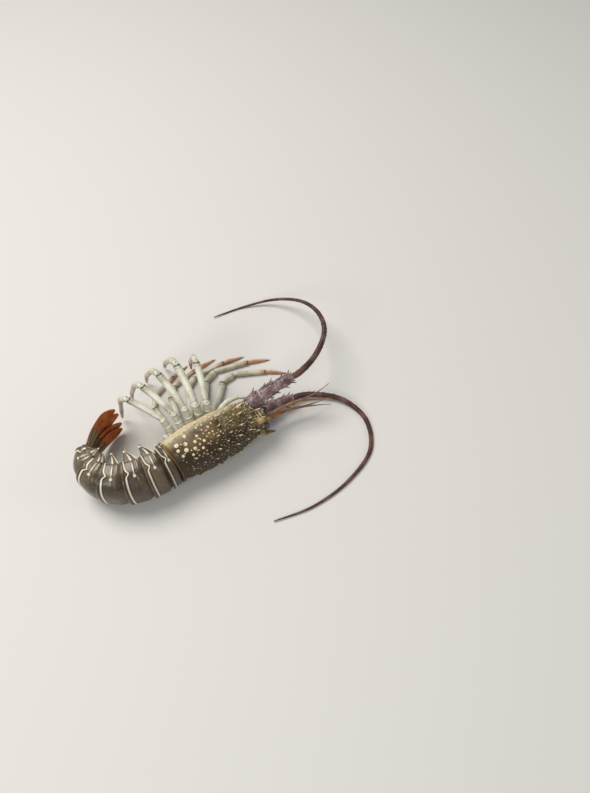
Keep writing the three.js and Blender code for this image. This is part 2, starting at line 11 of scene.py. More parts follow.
import bpy
import numpy as np
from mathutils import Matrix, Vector

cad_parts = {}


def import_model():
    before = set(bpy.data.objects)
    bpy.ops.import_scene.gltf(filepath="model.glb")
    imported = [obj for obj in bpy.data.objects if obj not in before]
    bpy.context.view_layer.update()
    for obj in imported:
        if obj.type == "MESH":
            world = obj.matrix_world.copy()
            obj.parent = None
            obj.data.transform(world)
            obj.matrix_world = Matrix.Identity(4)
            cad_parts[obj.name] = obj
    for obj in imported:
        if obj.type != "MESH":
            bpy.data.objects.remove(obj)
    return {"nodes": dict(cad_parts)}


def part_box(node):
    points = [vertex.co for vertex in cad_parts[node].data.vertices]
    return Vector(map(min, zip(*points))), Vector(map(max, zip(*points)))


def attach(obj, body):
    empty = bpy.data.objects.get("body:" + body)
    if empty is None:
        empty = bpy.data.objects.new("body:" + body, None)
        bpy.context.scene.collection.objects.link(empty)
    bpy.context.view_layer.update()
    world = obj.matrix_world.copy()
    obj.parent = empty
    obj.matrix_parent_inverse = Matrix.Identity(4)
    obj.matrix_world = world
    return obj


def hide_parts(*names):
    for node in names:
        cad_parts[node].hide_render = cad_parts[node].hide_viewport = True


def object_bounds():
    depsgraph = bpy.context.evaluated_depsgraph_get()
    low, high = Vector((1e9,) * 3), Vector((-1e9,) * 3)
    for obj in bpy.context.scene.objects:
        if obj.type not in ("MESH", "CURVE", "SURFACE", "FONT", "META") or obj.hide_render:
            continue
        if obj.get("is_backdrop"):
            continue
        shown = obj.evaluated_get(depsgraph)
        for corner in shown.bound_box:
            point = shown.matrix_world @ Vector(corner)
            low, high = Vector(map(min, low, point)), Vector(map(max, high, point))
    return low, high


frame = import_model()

cad_low, cad_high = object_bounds()
random = np.random.default_rng(11)
print("solids:", len(frame["nodes"]), "nodes, box", [round(v, 3) for v in (*cad_low, *cad_high)])

# %% [markdown]
# ## Driving sizes
# They repeat the named sizes of the solids, so that each fine shell lies on the plate it stands for.

# %% Sizes of the body
FLOOR = 24.2
CARAPACE_LENGTH = 85
CARAPACE_WIDTHS = [23.4, 25, 24.6, 22.2, 17.6]
CARAPACE_BACKS = [17.5, 20.6, 21.4, 19.8, 15.4]
CARAPACE_BELLIES = [14, 16.8, 17, 15.8, 12]
HIND_CORNER = 5
HIND_NOTCH = 6
FRONT_SLOPE = 5
HORN_REACH = 21.5
HORN_RADIUS = 3.9
STERNUM = {"hind": 3, "front": 56, "hind_half": 13.5, "front_half": 4.6, "top": 10, "bottom": 22.6}
STERNUM_BARS = 12
EYE_RADIUS = 4.3
GAP = 0.3

# %% Sizes of the tail
TAIL_LENGTHS = [10, 15, 17, 17, 15.5, 17, 44]
TAIL_HEADINGS = [0, 2, 10, 24, 49, 82, 128, 176]
TAIL_WIDTHS = [22.8, 24.9, 25, 24.2, 22.6, 20, 16]
TAIL_BACKS = [17.6, 19.6, 20.4, 20, 19, 16, 11]
TAIL_BELLY = 8
PLEURON_DROPS = [11, 16.5, 16.5, 15.5, 14.5, 12]
PLEOPOD_DROPS = [0, 22, 21, 16, 13, 0]

# %% Sizes of the legs
LEG_ROOTS = [50, 41, 32, 22.5, 13]
LEG_SIZES = [0.97, 1.04, 1, 0.94, 0.88]
LEG_LENGTHS = {"base": 18, "merus": 40, "carpus": 15, "propodus": 34, "dactyl": 20}
LEG_ROOT_DEPTH = 20.5
UPPER_HEIGHTS = [48, 58, 49, 20, 0.9]
UPPER_HEADINGS = {
    "base": [14, -20], "merus": [18, -30], "carpus": [10, -27], "propodus": [4, -24], "dactyl": [2, -24],
}
LOWER_HEIGHTS = [8.2, 3.9, 3.1, 2.3, 0.6]
LOWER_HEADINGS = {
    "base": [30, 0], "merus": [45, 2], "carpus": [84, 28], "propodus": [118, 68], "dactyl": [126, 76],
}
SIDES = {"left": 1, "right": -1}

# %% [markdown]
# ## From the body to the frame
# The chest plate's solid shows where the body's frame lies: its hind edge and its lowest bar are known
# in both. The left side is up, so left becomes up, and the back side becomes -Y.

# %% Place of the body
chest_low, chest_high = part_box("sternum")
bar_x = STERNUM["hind"] + np.arange(STERNUM_BARS + 1) / STERNUM_BARS * (STERNUM["front"] - STERNUM["hind"])
deepest = STERNUM["bottom"] + 0.7 * np.cos((bar_x - LEG_ROOTS[4]) / 9.3 * 2 * np.pi).max()
OFFSET_X = chest_low.x * 1000 - STERNUM["hind"]
OFFSET_Y = chest_high.y * 1000 - deepest


def world(points):
    """Body millimetres to frame metres: (x, y, z) goes to (x, -z, y) plus the body's place."""
    x, y, z = points[..., 0], points[..., 1], points[..., 2]
    return np.stack([x + OFFSET_X, OFFSET_Y - z, y + FLOOR], axis=-1) * 0.001


print("body frame starts at", round(OFFSET_X, 2), round(OFFSET_Y, 2), "mm")

# %% [markdown]
# ## Small helpers
# A few formulas are used by every piece: a smooth curve through evenly spaced sizes, an eased profile
# through marks, and a sine or cosine raised to a power, which makes a round section squarer.

# %% Helpers for numbers


def vec(*numbers):
    return np.array(numbers, dtype=float)


def unit(vectors):
    return vectors / np.linalg.norm(vectors, axis=-1, keepdims=True)


def lerp(low, high, share):
    return low + (high - low) * share


def squared(value, power):
    """The sign of the value times its size raised to a power."""
    return np.sign(value) * np.abs(value) ** power


def size_at(sizes, share):
    """A Catmull-Rom curve through evenly spaced sizes, from share 0 to share 1."""
    sizes = np.asarray(sizes, dtype=float)
    last = len(sizes) - 1
    place = np.clip(np.asarray(share, dtype=float), 0, 1) * last
    i = np.minimum(np.floor(place).astype(int), last - 1)
    t = place - i
    p1, p2 = sizes[i], sizes[i + 1]
    p0, p3 = sizes[np.maximum(i - 1, 0)], sizes[np.minimum(i + 2, last)]
    v0, v1 = (p2 - p0) / 2, (p3 - p1) / 2
    return (2 * p1 - 2 * p2 + v0 + v1) * t**3 + (3 * p2 - 3 * p1 - 2 * v0 - v1) * t**2 + v0 * t + p1


def eased(share, *marks):
    """A smooth line through (share, size) marks, level at each of them."""
    xs, ys = np.array(marks, dtype=float).T
    share = np.asarray(share, dtype=float)
    i = np.clip(np.searchsorted(xs, share, side="right") - 1, 0, len(xs) - 2)
    t = np.clip((share - xs[i]) / (xs[i + 1] - xs[i]), 0, 1)
    return ys[i] + (ys[i + 1] - ys[i]) * t * t * (3 - 2 * t)


def bell(distance, width):
    """A smooth bump of height 1: e to the minus (distance / width) squared."""
    return np.exp(-((distance / width) ** 2))


def step(value, low, high):
    """0 below low, 1 above high and eased between."""
    t = np.clip((value - low) / (high - low), 0, 1)
    return t * t * (3 - 2 * t)


def waves(points, size, seed):
    """Cheap smooth noise from -1 to 1: a mean of sines in turned directions, about size millimetres wide."""
    draw = np.random.default_rng(seed)
    total = 0
    for _ in range(7):
        way = unit(draw.normal(size=3)) * draw.uniform(0.6, 1.5) / size * 2 * np.pi
        total = total + np.sin(points @ way + draw.uniform(0, 6.28))
    return total / 4


def turns(sides):
    """Evenly spaced angles once round a section."""
    return np.arange(sides) / sides * 2 * np.pi


def share_and_turn(rows, columns, begin=0.0, end=1.0):
    """The two parameters of a skin as whole arrays: share along it and turn round it."""
    return np.meshgrid(np.linspace(begin, end, rows), turns(columns), indexing="ij")


def round_way(turn, deep, across):
    """The way out of a section: deep x cos(turn) + across x sin(turn)."""
    return np.cos(turn)[..., None] * deep + np.sin(turn)[..., None] * across


# %% [markdown]
# ## Patches
# A patch is a closed skin: its points, faces and named marks, which are numbers from 0 to 1 on each point
# that the materials read as attributes. A tube is a grid of rows and columns, closed by a point at each end.

# %% Closed patches


def outward(patch):
    """Turns a patch inside out where the sum of its corner volumes is below zero."""
    points = patch["points"]
    corners = [np.concatenate([patch["quads"][:, :3], patch["tris"]]), patch["quads"][:, [0, 2, 3]]]
    a, b, c = (points[np.concatenate(corners)[:, k]] - points.mean(0) for k in range(3))
    if np.einsum("ij,ij->", a, np.cross(b, c)) < 0:
        patch["quads"] = patch["quads"][:, ::-1]
        patch["tris"] = patch["tris"][:, ::-1]
    return patch


def closed_tube(points, ends=None, material=0, **marks):
    """A grid of rows (along) and columns (round) with its columns joined and a point closing each end."""
    rows, columns = points.shape[:2]
    grid = np.arange(rows * columns).reshape(rows, columns)
    after = np.roll(grid, -1, axis=1)
    quads = np.stack([grid[:-1], after[:-1], after[1:], grid[1:]], axis=-1).reshape(-1, 4)
    first = np.full(columns, rows * columns)
    tris = np.concatenate([
        np.stack([after[0], grid[0], first], -1), np.stack([grid[-1], after[-1], first + 1], -1),
    ])
    ends = ends if ends is not None else (points[0].mean(0), points[-1].mean(0))
    all_points = np.concatenate([points.reshape(-1, 3), np.array(ends)])
    marks = {key: np.broadcast_to(value, (rows, columns)) for key, value in marks.items()}
    marks = {
        key: np.append(value.ravel(), [value[0].mean(), value[-1].mean()]) for key, value in marks.items()
    }
    return outward({
        "points": all_points, "quads": quads, "tris": tris, "marks": marks, "material": material,
    })


def side_frames(facings, up):
    """Two unit vectors across each facing: the one nearest to up, and facing cross that one."""
    deep = unit(up - np.sum(up * facings, axis=-1, keepdims=True) * facings)
    return deep, np.cross(facings, deep)


def sweep(centres, facings, wide, deep, sides=24, up=(0, 0, 1), relief=0, **marks):
    """A tube: centre + deep half-size x cos(turn) x up side + wide half-size x sin(turn) x across."""
    turn = turns(sides)
    ups, across = side_frames(unit(facings), vec(*up))
    wide = np.broadcast_to(wide, len(centres))[:, None] + relief
    deep = np.broadcast_to(deep, len(centres))[:, None] + relief
    points = centres[:, None] + (deep * np.cos(turn))[..., None] * ups[:, None]
    return closed_tube(points + (wide * np.sin(turn))[..., None] * across[:, None], **marks)


def raise_studs(points, normals, centres, radii, heights, tints):
    """Raises round studs, height x (1 - d^2 / r^2)^1.5; also gives their mark and a ring round each."""
    lift, mark, ring = (np.zeros(points.shape[:2]) for _ in range(3))
    for centre, radius, height, tint in zip(centres, radii, heights, tints):
        away = np.sum((points - centre) ** 2, axis=-1) / radius**2
        lift = np.maximum(lift, height * np.maximum(1 - away, 0) ** 1.5)
        mark = np.maximum(mark, tint * np.minimum(1, 1.6 * np.maximum(1 - away, 0)))
        ring = np.maximum(ring, bell(np.sqrt(away) - 1.25, 0.25))
    return points + lift[..., None] * normals, mark, ring


def curve_through(knots, count, begin=0.0, end=1.0):
    """Evenly spaced points and directions on a centripetal Catmull-Rom curve through the knots."""
    knots = np.array(knots, dtype=float)
    padded = np.concatenate([[2 * knots[0] - knots[1]], knots, [2 * knots[-1] - knots[-2]]])
    dense = []
    t = np.linspace(0, 1, 60, endpoint=False)[:, None]
    for p0, p1, p2, p3 in zip(padded, padded[1:], padded[2:], padded[3:]):
        d0, d1, d2 = (max(np.linalg.norm(b - a) ** 0.5, 1e-6) for a, b in ((p0, p1), (p1, p2), (p2, p3)))
        v0 = ((p1 - p0) / d0 - (p2 - p0) / (d0 + d1) + (p2 - p1) / d1) * d1
        v1 = ((p2 - p1) / d1 - (p3 - p1) / (d1 + d2) + (p3 - p2) / d2) * d1
        dense.append(
            (2 * p1 - 2 * p2 + v0 + v1) * t**3 + (3 * p2 - 3 * p1 - 2 * v0 - v1) * t**2 + v0 * t + p1
        )
    dense = np.concatenate(dense + [knots[-1:]])
    gone = np.concatenate([[0], np.cumsum(np.linalg.norm(np.diff(dense, axis=0), axis=1))])
    want = np.linspace(begin, end, count) * gone[-1]
    at = np.stack([np.interp(want, gone, dense[:, k]) for k in range(3)], -1)
    ahead = np.stack([np.interp(want + 0.4, gone, dense[:, k]) for k in range(3)], -1)
    behind = np.stack([np.interp(want - 0.4, gone, dense[:, k]) for k in range(3)], -1)
    return at, unit(ahead - behind)


# %% [markdown]
# ## Thorns
# A spiny lobster has hundreds of thorns. They could be cones placed one by one, but one template of a few
# rings laid at every root by whole-array sums is quicker and keeps them all in one patch: each is a cone that
# leans over towards its tip, with its root sunk under the shell. Pale tips and warm roots come as marks.

# %% Thorns on any shell


def thorns(roots, ways, lengths, radii, lean=None, sides=8, rings=6, material=0, **marks):
    """Cones: root + way x length x share + lean x share squared, thin as (1 - share)^0.8."""
    roots, ways = np.atleast_2d(roots), unit(np.atleast_2d(ways))
    count = len(roots)
    lengths = np.broadcast_to(lengths, count)
    radii = np.broadcast_to(radii, count)
    lean = np.zeros((count, 3)) if lean is None else np.broadcast_to(lean, (count, 3))
    helper = np.where(np.abs(ways[:, 2:3]) < 0.8, vec(0, 0, 1), vec(1, 0, 0))
    deep, across = side_frames(ways, helper)
    share = np.linspace(0, 1, rings)
    turn = turns(sides)
    along = (lengths[:, None] * (1.25 * share - 0.25))[..., None] * ways[:, None]
    along = along + (lengths[:, None] * share**2)[..., None] * lean[:, None]
    thin = radii[:, None] * ((1 - share) ** 0.8 + 0.06)
    round_ = round_way(turn, deep[:, None], across[:, None])
    points = roots[:, None, None] + along[:, :, None] + thin[:, :, None, None] * round_[:, None]
    tip = roots + along[:, -1] + ways * 0.04
    base = roots + along[:, 0]
    each = rings * sides + 2
    grid = np.arange(rings * sides).reshape(rings, sides)
    after = np.roll(grid, -1, axis=1)
    quads = np.stack([grid[:-1], after[:-1], after[1:], grid[1:]], axis=-1).reshape(-1, 4)
    tris = np.concatenate([
        np.stack([after[0], grid[0], np.full(sides, each - 2)], -1),
        np.stack([grid[-1], after[-1], np.full(sides, each - 1)], -1),
    ])
    shift = (np.arange(count) * each)[:, None, None]
    all_points = np.concatenate([points.reshape(count, -1, 3), base[:, None], tip[:, None]],
                                axis=1).reshape(-1, 3)
    marks = {key: np.repeat(np.broadcast_to(value, count), each) for key, value in marks.items()}
    marks["tip"] = np.tile(np.append(np.repeat(share**1.6, sides), [0, 1]), count)
    marks.setdefault("warm", np.tile(np.append(np.repeat(step(0.6 - share, 0, 0.5), sides), [1, 0]), count))
    return outward({
        "points": all_points, "quads": (quads + shift).reshape(-1, 4),
        "tris": (tris + shift).reshape(-1, 3),
        "marks": marks, "material": material,
    })


# %% [markdown]
# ## From patches to a piece
# All patches of a piece are joined into one mesh, whose object stays at the origin. Points that would lie
# under the floor are laid on it, as the solids are cut flat there.

# %% Make a piece
# deep is a painted shade mark, used to darken the carapace towards its back.
MARKS = ("tip", "cream", "dark", "pale", "warm", "blue", "deep")


def make_piece(name, patches, materials, nodes):
    """Joins the patches into one mesh with the marks as attributes, and stands it for the nodes."""
    starts = np.cumsum([0] + [len(p["points"]) for p in patches])
    points = np.concatenate([p["points"] for p in patches])
    points[:, 1] = np.maximum(points[:, 1], -FLOOR)
    quads = np.concatenate([p["quads"] + s for p, s in zip(patches, starts)])
    tris = np.concatenate([p["tris"] + s for p, s in zip(patches, starts)])
    kinds = np.concatenate(
        [np.full(len(p["quads"]), p["material"]) for p in patches]
        + [np.full(len(p["tris"]), p["material"]) for p in patches]
    )
    mesh = bpy.data.meshes.new(name)
    mesh.vertices.add(len(points))
    mesh.vertices.foreach_set("co", world(points).astype(np.float32).ravel())
    mesh.loops.add(quads.size + tris.size)
    mesh.loops.foreach_set("vertex_index", np.concatenate([quads.ravel(), tris.ravel()]).astype(np.int32))
    mesh.polygons.add(len(quads) + len(tris))
    begins = np.concatenate([np.arange(len(quads)) * 4, quads.size + np.arange(len(tris)) * 3])
    mesh.polygons.foreach_set("loop_start", begins.astype(np.int32))
    mesh.polygons.foreach_set("material_index", kinds.astype(np.int32))
    mesh.polygons.foreach_set("use_smooth", np.ones(len(begins), dtype=bool))
    for key in MARKS:
        values = np.concatenate([p["marks"].get(key, np.zeros(len(p["points"]))) for p in patches])
        attribute = mesh.attributes.new(key, "FLOAT", "POINT")
        attribute.data.foreach_set("value", np.clip(values, 0, 1).astype(np.float32))
    mesh.update(calc_edges=True)
    mesh.validate()
    for material in materials:
        mesh.materials.append(material)
    piece = bpy.data.objects.new(name, mesh)
    bpy.context.collection.objects.link(piece)
    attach(piece, "root")
    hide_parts(*nodes)
    print(name, len(quads) * 2 + len(tris), "triangles")
    return piece


# %% [markdown]
# ## Finishes
# Each shell is a layered procedural material: mottling from noise in Object coordinates, then tints laid
# over it where a mark says so, such as cream spots, dark lines and black tips. A wet shell has a thin clear
# coat over a half-rough base. The fine grain is bump, and everything larger is in the mesh.

# %% Node helpers


def add_node(tree, kind, inputs=None, **settings):
    node = tree.nodes.new(kind)
    for key, value in settings.items():
        setattr(node, key, value)
    for key, value in (inputs or {}).items():
        if isinstance(value, bpy.types.NodeSocket):
            tree.links.new(value, node.inputs[key])
        else:
            node.inputs[key].default_value = value
    return node


def noise(tree, place, scale, detail=4, roughness=0.55):
    found = add_node(
        tree, "ShaderNodeTexNoise", {"Vector": place, "Scale": scale, "Detail": detail, "Roughness": roughness},
    )
    return found.outputs["Fac"]


def ramp(tree, factor, low, high):
    """Stretches a factor so that low becomes 0 and high becomes 1."""
    found = add_node(tree, "ShaderNodeMapRange", {"Value": factor, "From Min": low, "From Max": high})
    return found.outputs["Result"]


def mix(tree, factor, first, second, blend="MIX"):
    found = add_node(tree, "ShaderNodeMix", data_type="RGBA", blend_type=blend)
    for socket, value in ((found.inputs[0], factor), (found.inputs[6], first), (found.inputs[7], second)):
        if isinstance(value, bpy.types.NodeSocket):
            tree.links.new(value, socket)
        else:
            socket.default_value = value
    return found.outputs[2]


def math_node(tree, operation, first, second):
    return add_node(tree, "ShaderNodeMath", {0: first, 1: second}, operation=operation).outputs[0]


def colour(hex_text):
    """An sRGB colour such as 6f6a54 as linear red, green, blue and 1."""
    channels = [int(hex_text[i:i + 2], 16) / 255 for i in (0, 2, 4)]
    return (*[c / 12.92 if c <= 0.04045 else ((c + 0.055) / 1.055) ** 2.4 for c in channels], 1)


# %% A shell finish


def shell(name, dark, middle, light, tints, rough=(0.3, 0.5), grain=0.12, coat=0.3, mottle=70,
          speckle=None, facets=0, mirror=0.4):
    """Mottled shell. tints are (mark, colour, strength), laid over one another in turn.

    rough is the range of the roughness, grain the strength of the bump, mottle the scale of the broad noise,
    speckle a fleck's (colour, scale, strength), facets the scale of the cells in an eye.
    """
    material = bpy.data.materials.new(name)
    material.use_nodes = True
    tree = material.node_tree
    shader = tree.nodes["Principled BSDF"]
    place = add_node(tree, "ShaderNodeTexCoord").outputs["Object"]
    broad = noise(tree, place, mottle, 5, 0.6)
    small = noise(tree, place, 520, 4, 0.6)
    tiny = noise(tree, place, 1900, 3, 0.6)
    shade = mix(tree, ramp(tree, broad, 0.36, 0.52), colour(dark), colour(middle))
    shade = mix(tree, ramp(tree, broad, 0.5, 0.68), shade, colour(light))
    shade = mix(tree, ramp(tree, small, 0.38, 0.66), mix(tree, 0.35, shade, colour(dark)), shade)
    if speckle:
        flecks = add_node(tree, "ShaderNodeTexVoronoi", {"Vector": place, "Scale": speckle[1]})
        near = ramp(tree, flecks.outputs["Distance"], 0.32, 0.16)
        shade = mix(tree, math_node(tree, "MULTIPLY", near, speckle[2]), shade, colour(speckle[0]))
    for mark, tint, strength in tints:
        amount = add_node(tree, "ShaderNodeAttribute", attribute_name=mark).outputs["Fac"]
        edge = math_node(
            tree, "ADD", amount, math_node(tree, "MULTIPLY", math_node(tree, "SUBTRACT", small, 0.5), 0.35),
        )
        edge = math_node(tree, "MULTIPLY", ramp(tree, edge, 0.2, 0.75), strength)
        shade = mix(tree, edge, shade, colour(tint))
    worn = ramp(tree, tiny, 0.3, 0.7)
    shade = mix(tree, math_node(tree, "MULTIPLY", worn, 0.14), shade, colour(light))
    tree.links.new(shade, shader.inputs["Base Color"])
    gloss = add_node(tree, "ShaderNodeMapRange", {"Value": small, "To Min": rough[0], "To Max": rough[1]})
    tree.links.new(gloss.outputs["Result"], shader.inputs["Roughness"])
    height = math_node(tree, "ADD", small, math_node(tree, "MULTIPLY", tiny, 0.5))
    if facets:
        cells = add_node(tree, "ShaderNodeTexVoronoi", {"Vector": place, "Scale": facets},
                         feature="DISTANCE_TO_EDGE")
        height = math_node(tree, "ADD", height, ramp(tree, cells.outputs["Distance"], 0.0, 0.15))
    bump = add_node(tree, "ShaderNodeBump", {"Height": height, "Strength": grain, "Distance": 0.0006})
    tree.links.new(bump.outputs["Normal"], shader.inputs["Normal"])
    shader.inputs["Coat Weight"].default_value = coat
    shader.inputs["Coat Roughness"].default_value = 0.18
    shader.inputs["Specular IOR Level"].default_value = mirror
    shader.inputs["Subsurface Weight"].default_value = 0.06
    shader.inputs["Subsurface Scale"].default_value = 0.002
    return material


# The deep tint is painted shade: it darkens the carapace towards its back, the side turned away from the main
# light.
carapace_finish = shell(
    "carapace_shell", "3a2c17", "59472a", "7c6743",
    [("deep", "241a10", 0.8), ("warm", "83552c", 0.7), ("pale", "cdbd98", 0.9), ("blue", "3f6664", 0.6),
     ("dark", "20160c", 0.75), ("cream", "e0d1b0", 1.0)],
    rough=(0.36, 0.58), grain=0.35, coat=0.1, speckle=("a5905f", 420, 0.35), mirror=0.2,
)
thorn_finish = shell(
    "thorn_shell", "3f2f19", "5e4b2c", "806b45",
    [("cream", "94805a", 0.6), ("pale", "cfc09a", 0.9), ("tip", "e2d3ae", 0.95)],
    rough=(0.32, 0.48), grain=0.12, coat=0.12, mirror=0.3,
)
horn_finish = shell(
    "horn_shell", "5c4828", "7d643a", "9e8456",
    [("warm", "594729", 0.9), ("cream", "b0966a", 0.75), ("dark", "3d2e1a", 0.6), ("tip", "352716", 0.8)],
    rough=(0.3, 0.45), grain=0.12, coat=0.15, mirror=0.3,
)
tail_finish = shell(
    "tail_shell", "3a2f23", "574938", "73644e",
    [("pale", "cabfa6", 0.92), ("dark", "18120b", 0.85), ("cream", "e5d9bf", 1.0), ("warm", "94643c", 0.5)],
    rough=(0.26, 0.42), grain=0.14, coat=0.22, mottle=55, speckle=("86724f", 500, 0.35), mirror=0.3,
)
chest_finish = shell(
    "chest_shell", "b9b198", "d5ceb6", "e6e1cf", [("dark", "6d745f", 0.8)],
    rough=(0.3, 0.45), coat=0.2, mirror=0.35,
)
leg_finish = shell(
    "leg_shell", "a39b7e", "c8c4ae", "dadacb",
    [("cream", "e0e0d0", 0.9), ("warm", "b0652a", 0.85), ("pale", "e2e1d5", 0.7), ("dark", "26352a", 0.95),
     ("tip", "6a3d1c", 0.85)],
    rough=(0.26, 0.42), coat=0.3, mottle=110, speckle=("8f8660", 260, 0.35), mirror=0.35,
)
antenna_finish = shell(
    "antenna_shell", "3f2f31", "755c5f", "a88f91",
    [("pale", "dfcfca", 0.85), ("warm", "7d4a34", 0.5), ("dark", "241a1c", 0.8), ("cream", "dccbb4", 0.8),
     ("tip", "120b0a", 0.95)],
    rough=(0.32, 0.5), grain=0.3, coat=0.2, mottle=95, speckle=("c2aaa6", 330, 0.35), mirror=0.3,
)
whip_finish = shell(
    "whip_shell", "2a1612", "482a21", "6d4637",
    [("pale", "a27d69", 0.5), ("dark", "170c09", 0.8), ("tip", "1b0f0b", 0.6)],
    rough=(0.32, 0.5), grain=0.1, coat=0.15, mirror=0.3,
)
feeler_finish = shell(
    "feeler_shell", "6b4329", "96693f", "bd9564", [("dark", "35200f", 0.8), ("warm", "6a3822", 0.6)],
    rough=(0.3, 0.45), grain=0.1, coat=0.2,
)
fan_finish = shell(
    "fan_shell", "a3431a", "c96422", "de8a48",
    [("pale", "5f5136", 0.95), ("cream", "dac793", 0.85), ("dark", "3e2011", 0.7), ("tip", "db853f", 0.8)],
    rough=(0.3, 0.46), coat=0.22, mottle=90, mirror=0.3,
)
eye_finish = shell(
    "eye_surface", "1c120a", "362516", "564029",
    [("warm", "83705a", 0.8), ("pale", "8b7956", 0.9), ("cream", "cfbb8c", 0.9), ("dark", "0f0906", 0.9)],
    rough=(0.16, 0.28), grain=0.08, coat=0.5, facets=5200, mirror=0.4,
)
print("finishes:", len(bpy.data.materials))

# %% [markdown]
# ## Carapace
# The shield over head and chest is one plate. Its section is a rounded D, its hind margin has a raised rim
# behind a furrow, and the neck groove crosses it. Round tubercles stand all over it, largest on the hind
# flanks, and turn into forward thorns nearer the head. The tubercles could be small balls set on the shell.
# They are pushed out of the grid itself instead, so that each grows out of it with no seam, and the large
# thorns stand on low mounds made the same way. The horns over the eyes are swept along a bent line.

# %% Shape of the carapace


def carapace_point(turn, share, swell=0.0):
    """x runs from the hind to the front margin; y and z are half-sizes times powers of sin and cos."""
    side, up = np.sin(turn), np.cos(turn)
    hind = -HIND_CORNER + HIND_NOTCH * (1 + up) / 2
    front = CARAPACE_LENGTH - FRONT_SLOPE * (1 - up) / 2
    relief = swell + carapace_relief(up, share)
    height = np.where(up > 0, size_at(CARAPACE_BACKS, share), size_at(CARAPACE_BELLIES, share))
    x = hind + share * (front - hind)
    y = squared(side, 0.85) * (size_at(CARAPACE_WIDTHS, share) + relief)
    z = np.where(up > 0, squared(up, 0.92), squared(up, 0.5)) * (height + relief)
    return np.stack(np.broadcast_arrays(x, y, z), axis=-1)


def neck_share(up):
    """Where the neck groove crosses: it runs forward as it goes down the flanks."""
    return 0.52 + 0.11 * (1 - up)


def carapace_relief(up, share):
    """Rims at both ends, the hind furrow, the neck groove and the lip along the lower edge."""
    rim = (
        0.8 * bell(share - 0.012, 0.015) - 0.8 * bell(share - 0.05, 0.02) + 0.5 * bell(share - 0.988, 0.01)
    )
    across = share - neck_share(up)
    neck = -1.1 * bell(across, 0.022) - 0.4 * bell(across, 0.055) + 0.3 * bell(across - 0.055, 0.03)
    branch = (
        -0.6 * bell(share - 0.40 - 0.2 * (1 - up), 0.016) * step(up, -0.5, 0.0) * step(0.85 - up, 0.0, 0.3)
    )
    lip = (
        0.9 * bell(up + 0.5, 0.07) - 0.9 * bell(up + 0.68, 0.07)
        + 0.5 * bell(up + 0.3, 0.05) * step(0.5 - share, 0.0, 0.2)
    )
    return rim + (neck + branch) * step(up, -0.5, -0.2) + lip


def normals_of(points):
    """Unit normals of a closed grid, from the cross product of its two directions."""
    along = np.gradient(points, axis=0)
    around = np.roll(points, -1, axis=1) - np.roll(points, 1, axis=1)
    normal = np.cross(around, along)
    length = np.linalg.norm(normal, axis=-1, keepdims=True)
    return normal / np.maximum(length, 1e-9)


# %% Make the carapace
ROWS, COLUMNS = 250, 270
share, turn = share_and_turn(ROWS, COLUMNS)
share = share**0.95
shield = carapace_point(turn, share)
shield += 0.25 * waves(shield, 14, 3)[..., None] * normals_of(shield)
normals = normals_of(shield)
normals *= np.sign(np.sum(normals * (shield - vec(42, 0, 0)) * vec(0, 1, 1), axis=-1, keepdims=True))


HIND_STUDS = (
    (88, 0.12, 2.3), (74, 0.1, 1.7), (80, 0.2, 2.1), (66, 0.17, 2.2), (92, 0.24, 1.8), (56, 0.11, 1.6),
    (60, 0.25, 1.8), (74, 0.29, 1.7), (84, 0.34, 1.5), (48, 0.2, 1.4), (52, 0.32, 1.5), (66, 0.37, 1.5),
)


def main_thorns():
    """The rows of large thorns: the same places and lengths as in the solids."""
    found = []
    for side in (1, -1):
        for row, degrees in enumerate([13, 34, 56, 80, 101]):
            for i in range(7 - row % 2):
                share_here = 0.13 + (i + 0.5 * (row % 2)) * 0.125
                turn_here = side * math.radians(degrees + 4 * math.sin(2.1 * i + row))
                length = 1.7 + 3.1 * share_here**2 + 0.7 * math.sin(3.3 * i + 1.7 * row)
                if side > 0 or degrees <= 60 or degrees >= 110:
                    found.append((turn_here, share_here, length))
    return np.array(found).T


def stud_places(taken):
    """A jittered lattice of studs clear of the taken places: turn, share, half-size, height, cream."""
    found = []
    for side in (1, -1):
        for degrees, share_here, size in HIND_STUDS:
            found.append((side * math.radians(degrees), share_here, size, 0.6, 1.0))
    kept = list(carapace_point(*np.array(found).T[:2]))
    kept_sizes = [place[2] for place in found]
    for row, row_share in enumerate(np.arange(0.09, 0.97, 0.036)):
        for column in range(-15, 16):
            turn_here = (column + 0.5 * (row % 2) + random.uniform(-0.3, 0.3)) * 0.135
            share_here = row_share + random.uniform(-0.013, 0.013)
            fore = np.clip((share_here - 0.3) / 0.6, 0, 1)
            bright = random.random() > 0.35
            size = random.uniform(0.7, 1.25) - 0.3 * fore if bright else random.uniform(0.45, 0.8)
            here = carapace_point(np.float64(turn_here), np.float64(share_here))
            clear = np.linalg.norm(np.array(kept) - here, axis=-1) > np.array(kept_sizes) + size + 0.55
            if clear.all() and np.linalg.norm(taken - here, axis=-1).min() > 1.7:
                kept.append(here)
                kept_sizes.append(size)
                cream = (
                    (0.95 - 0.35 * fore) * (1 - 0.55 * step(math.cos(turn_here), 0.35, 0.9)) if bright else 0.2
                )
                found.append((turn_here, share_here, size, 0.12 + 0.3 * size, cream))
    return np.array(found).T


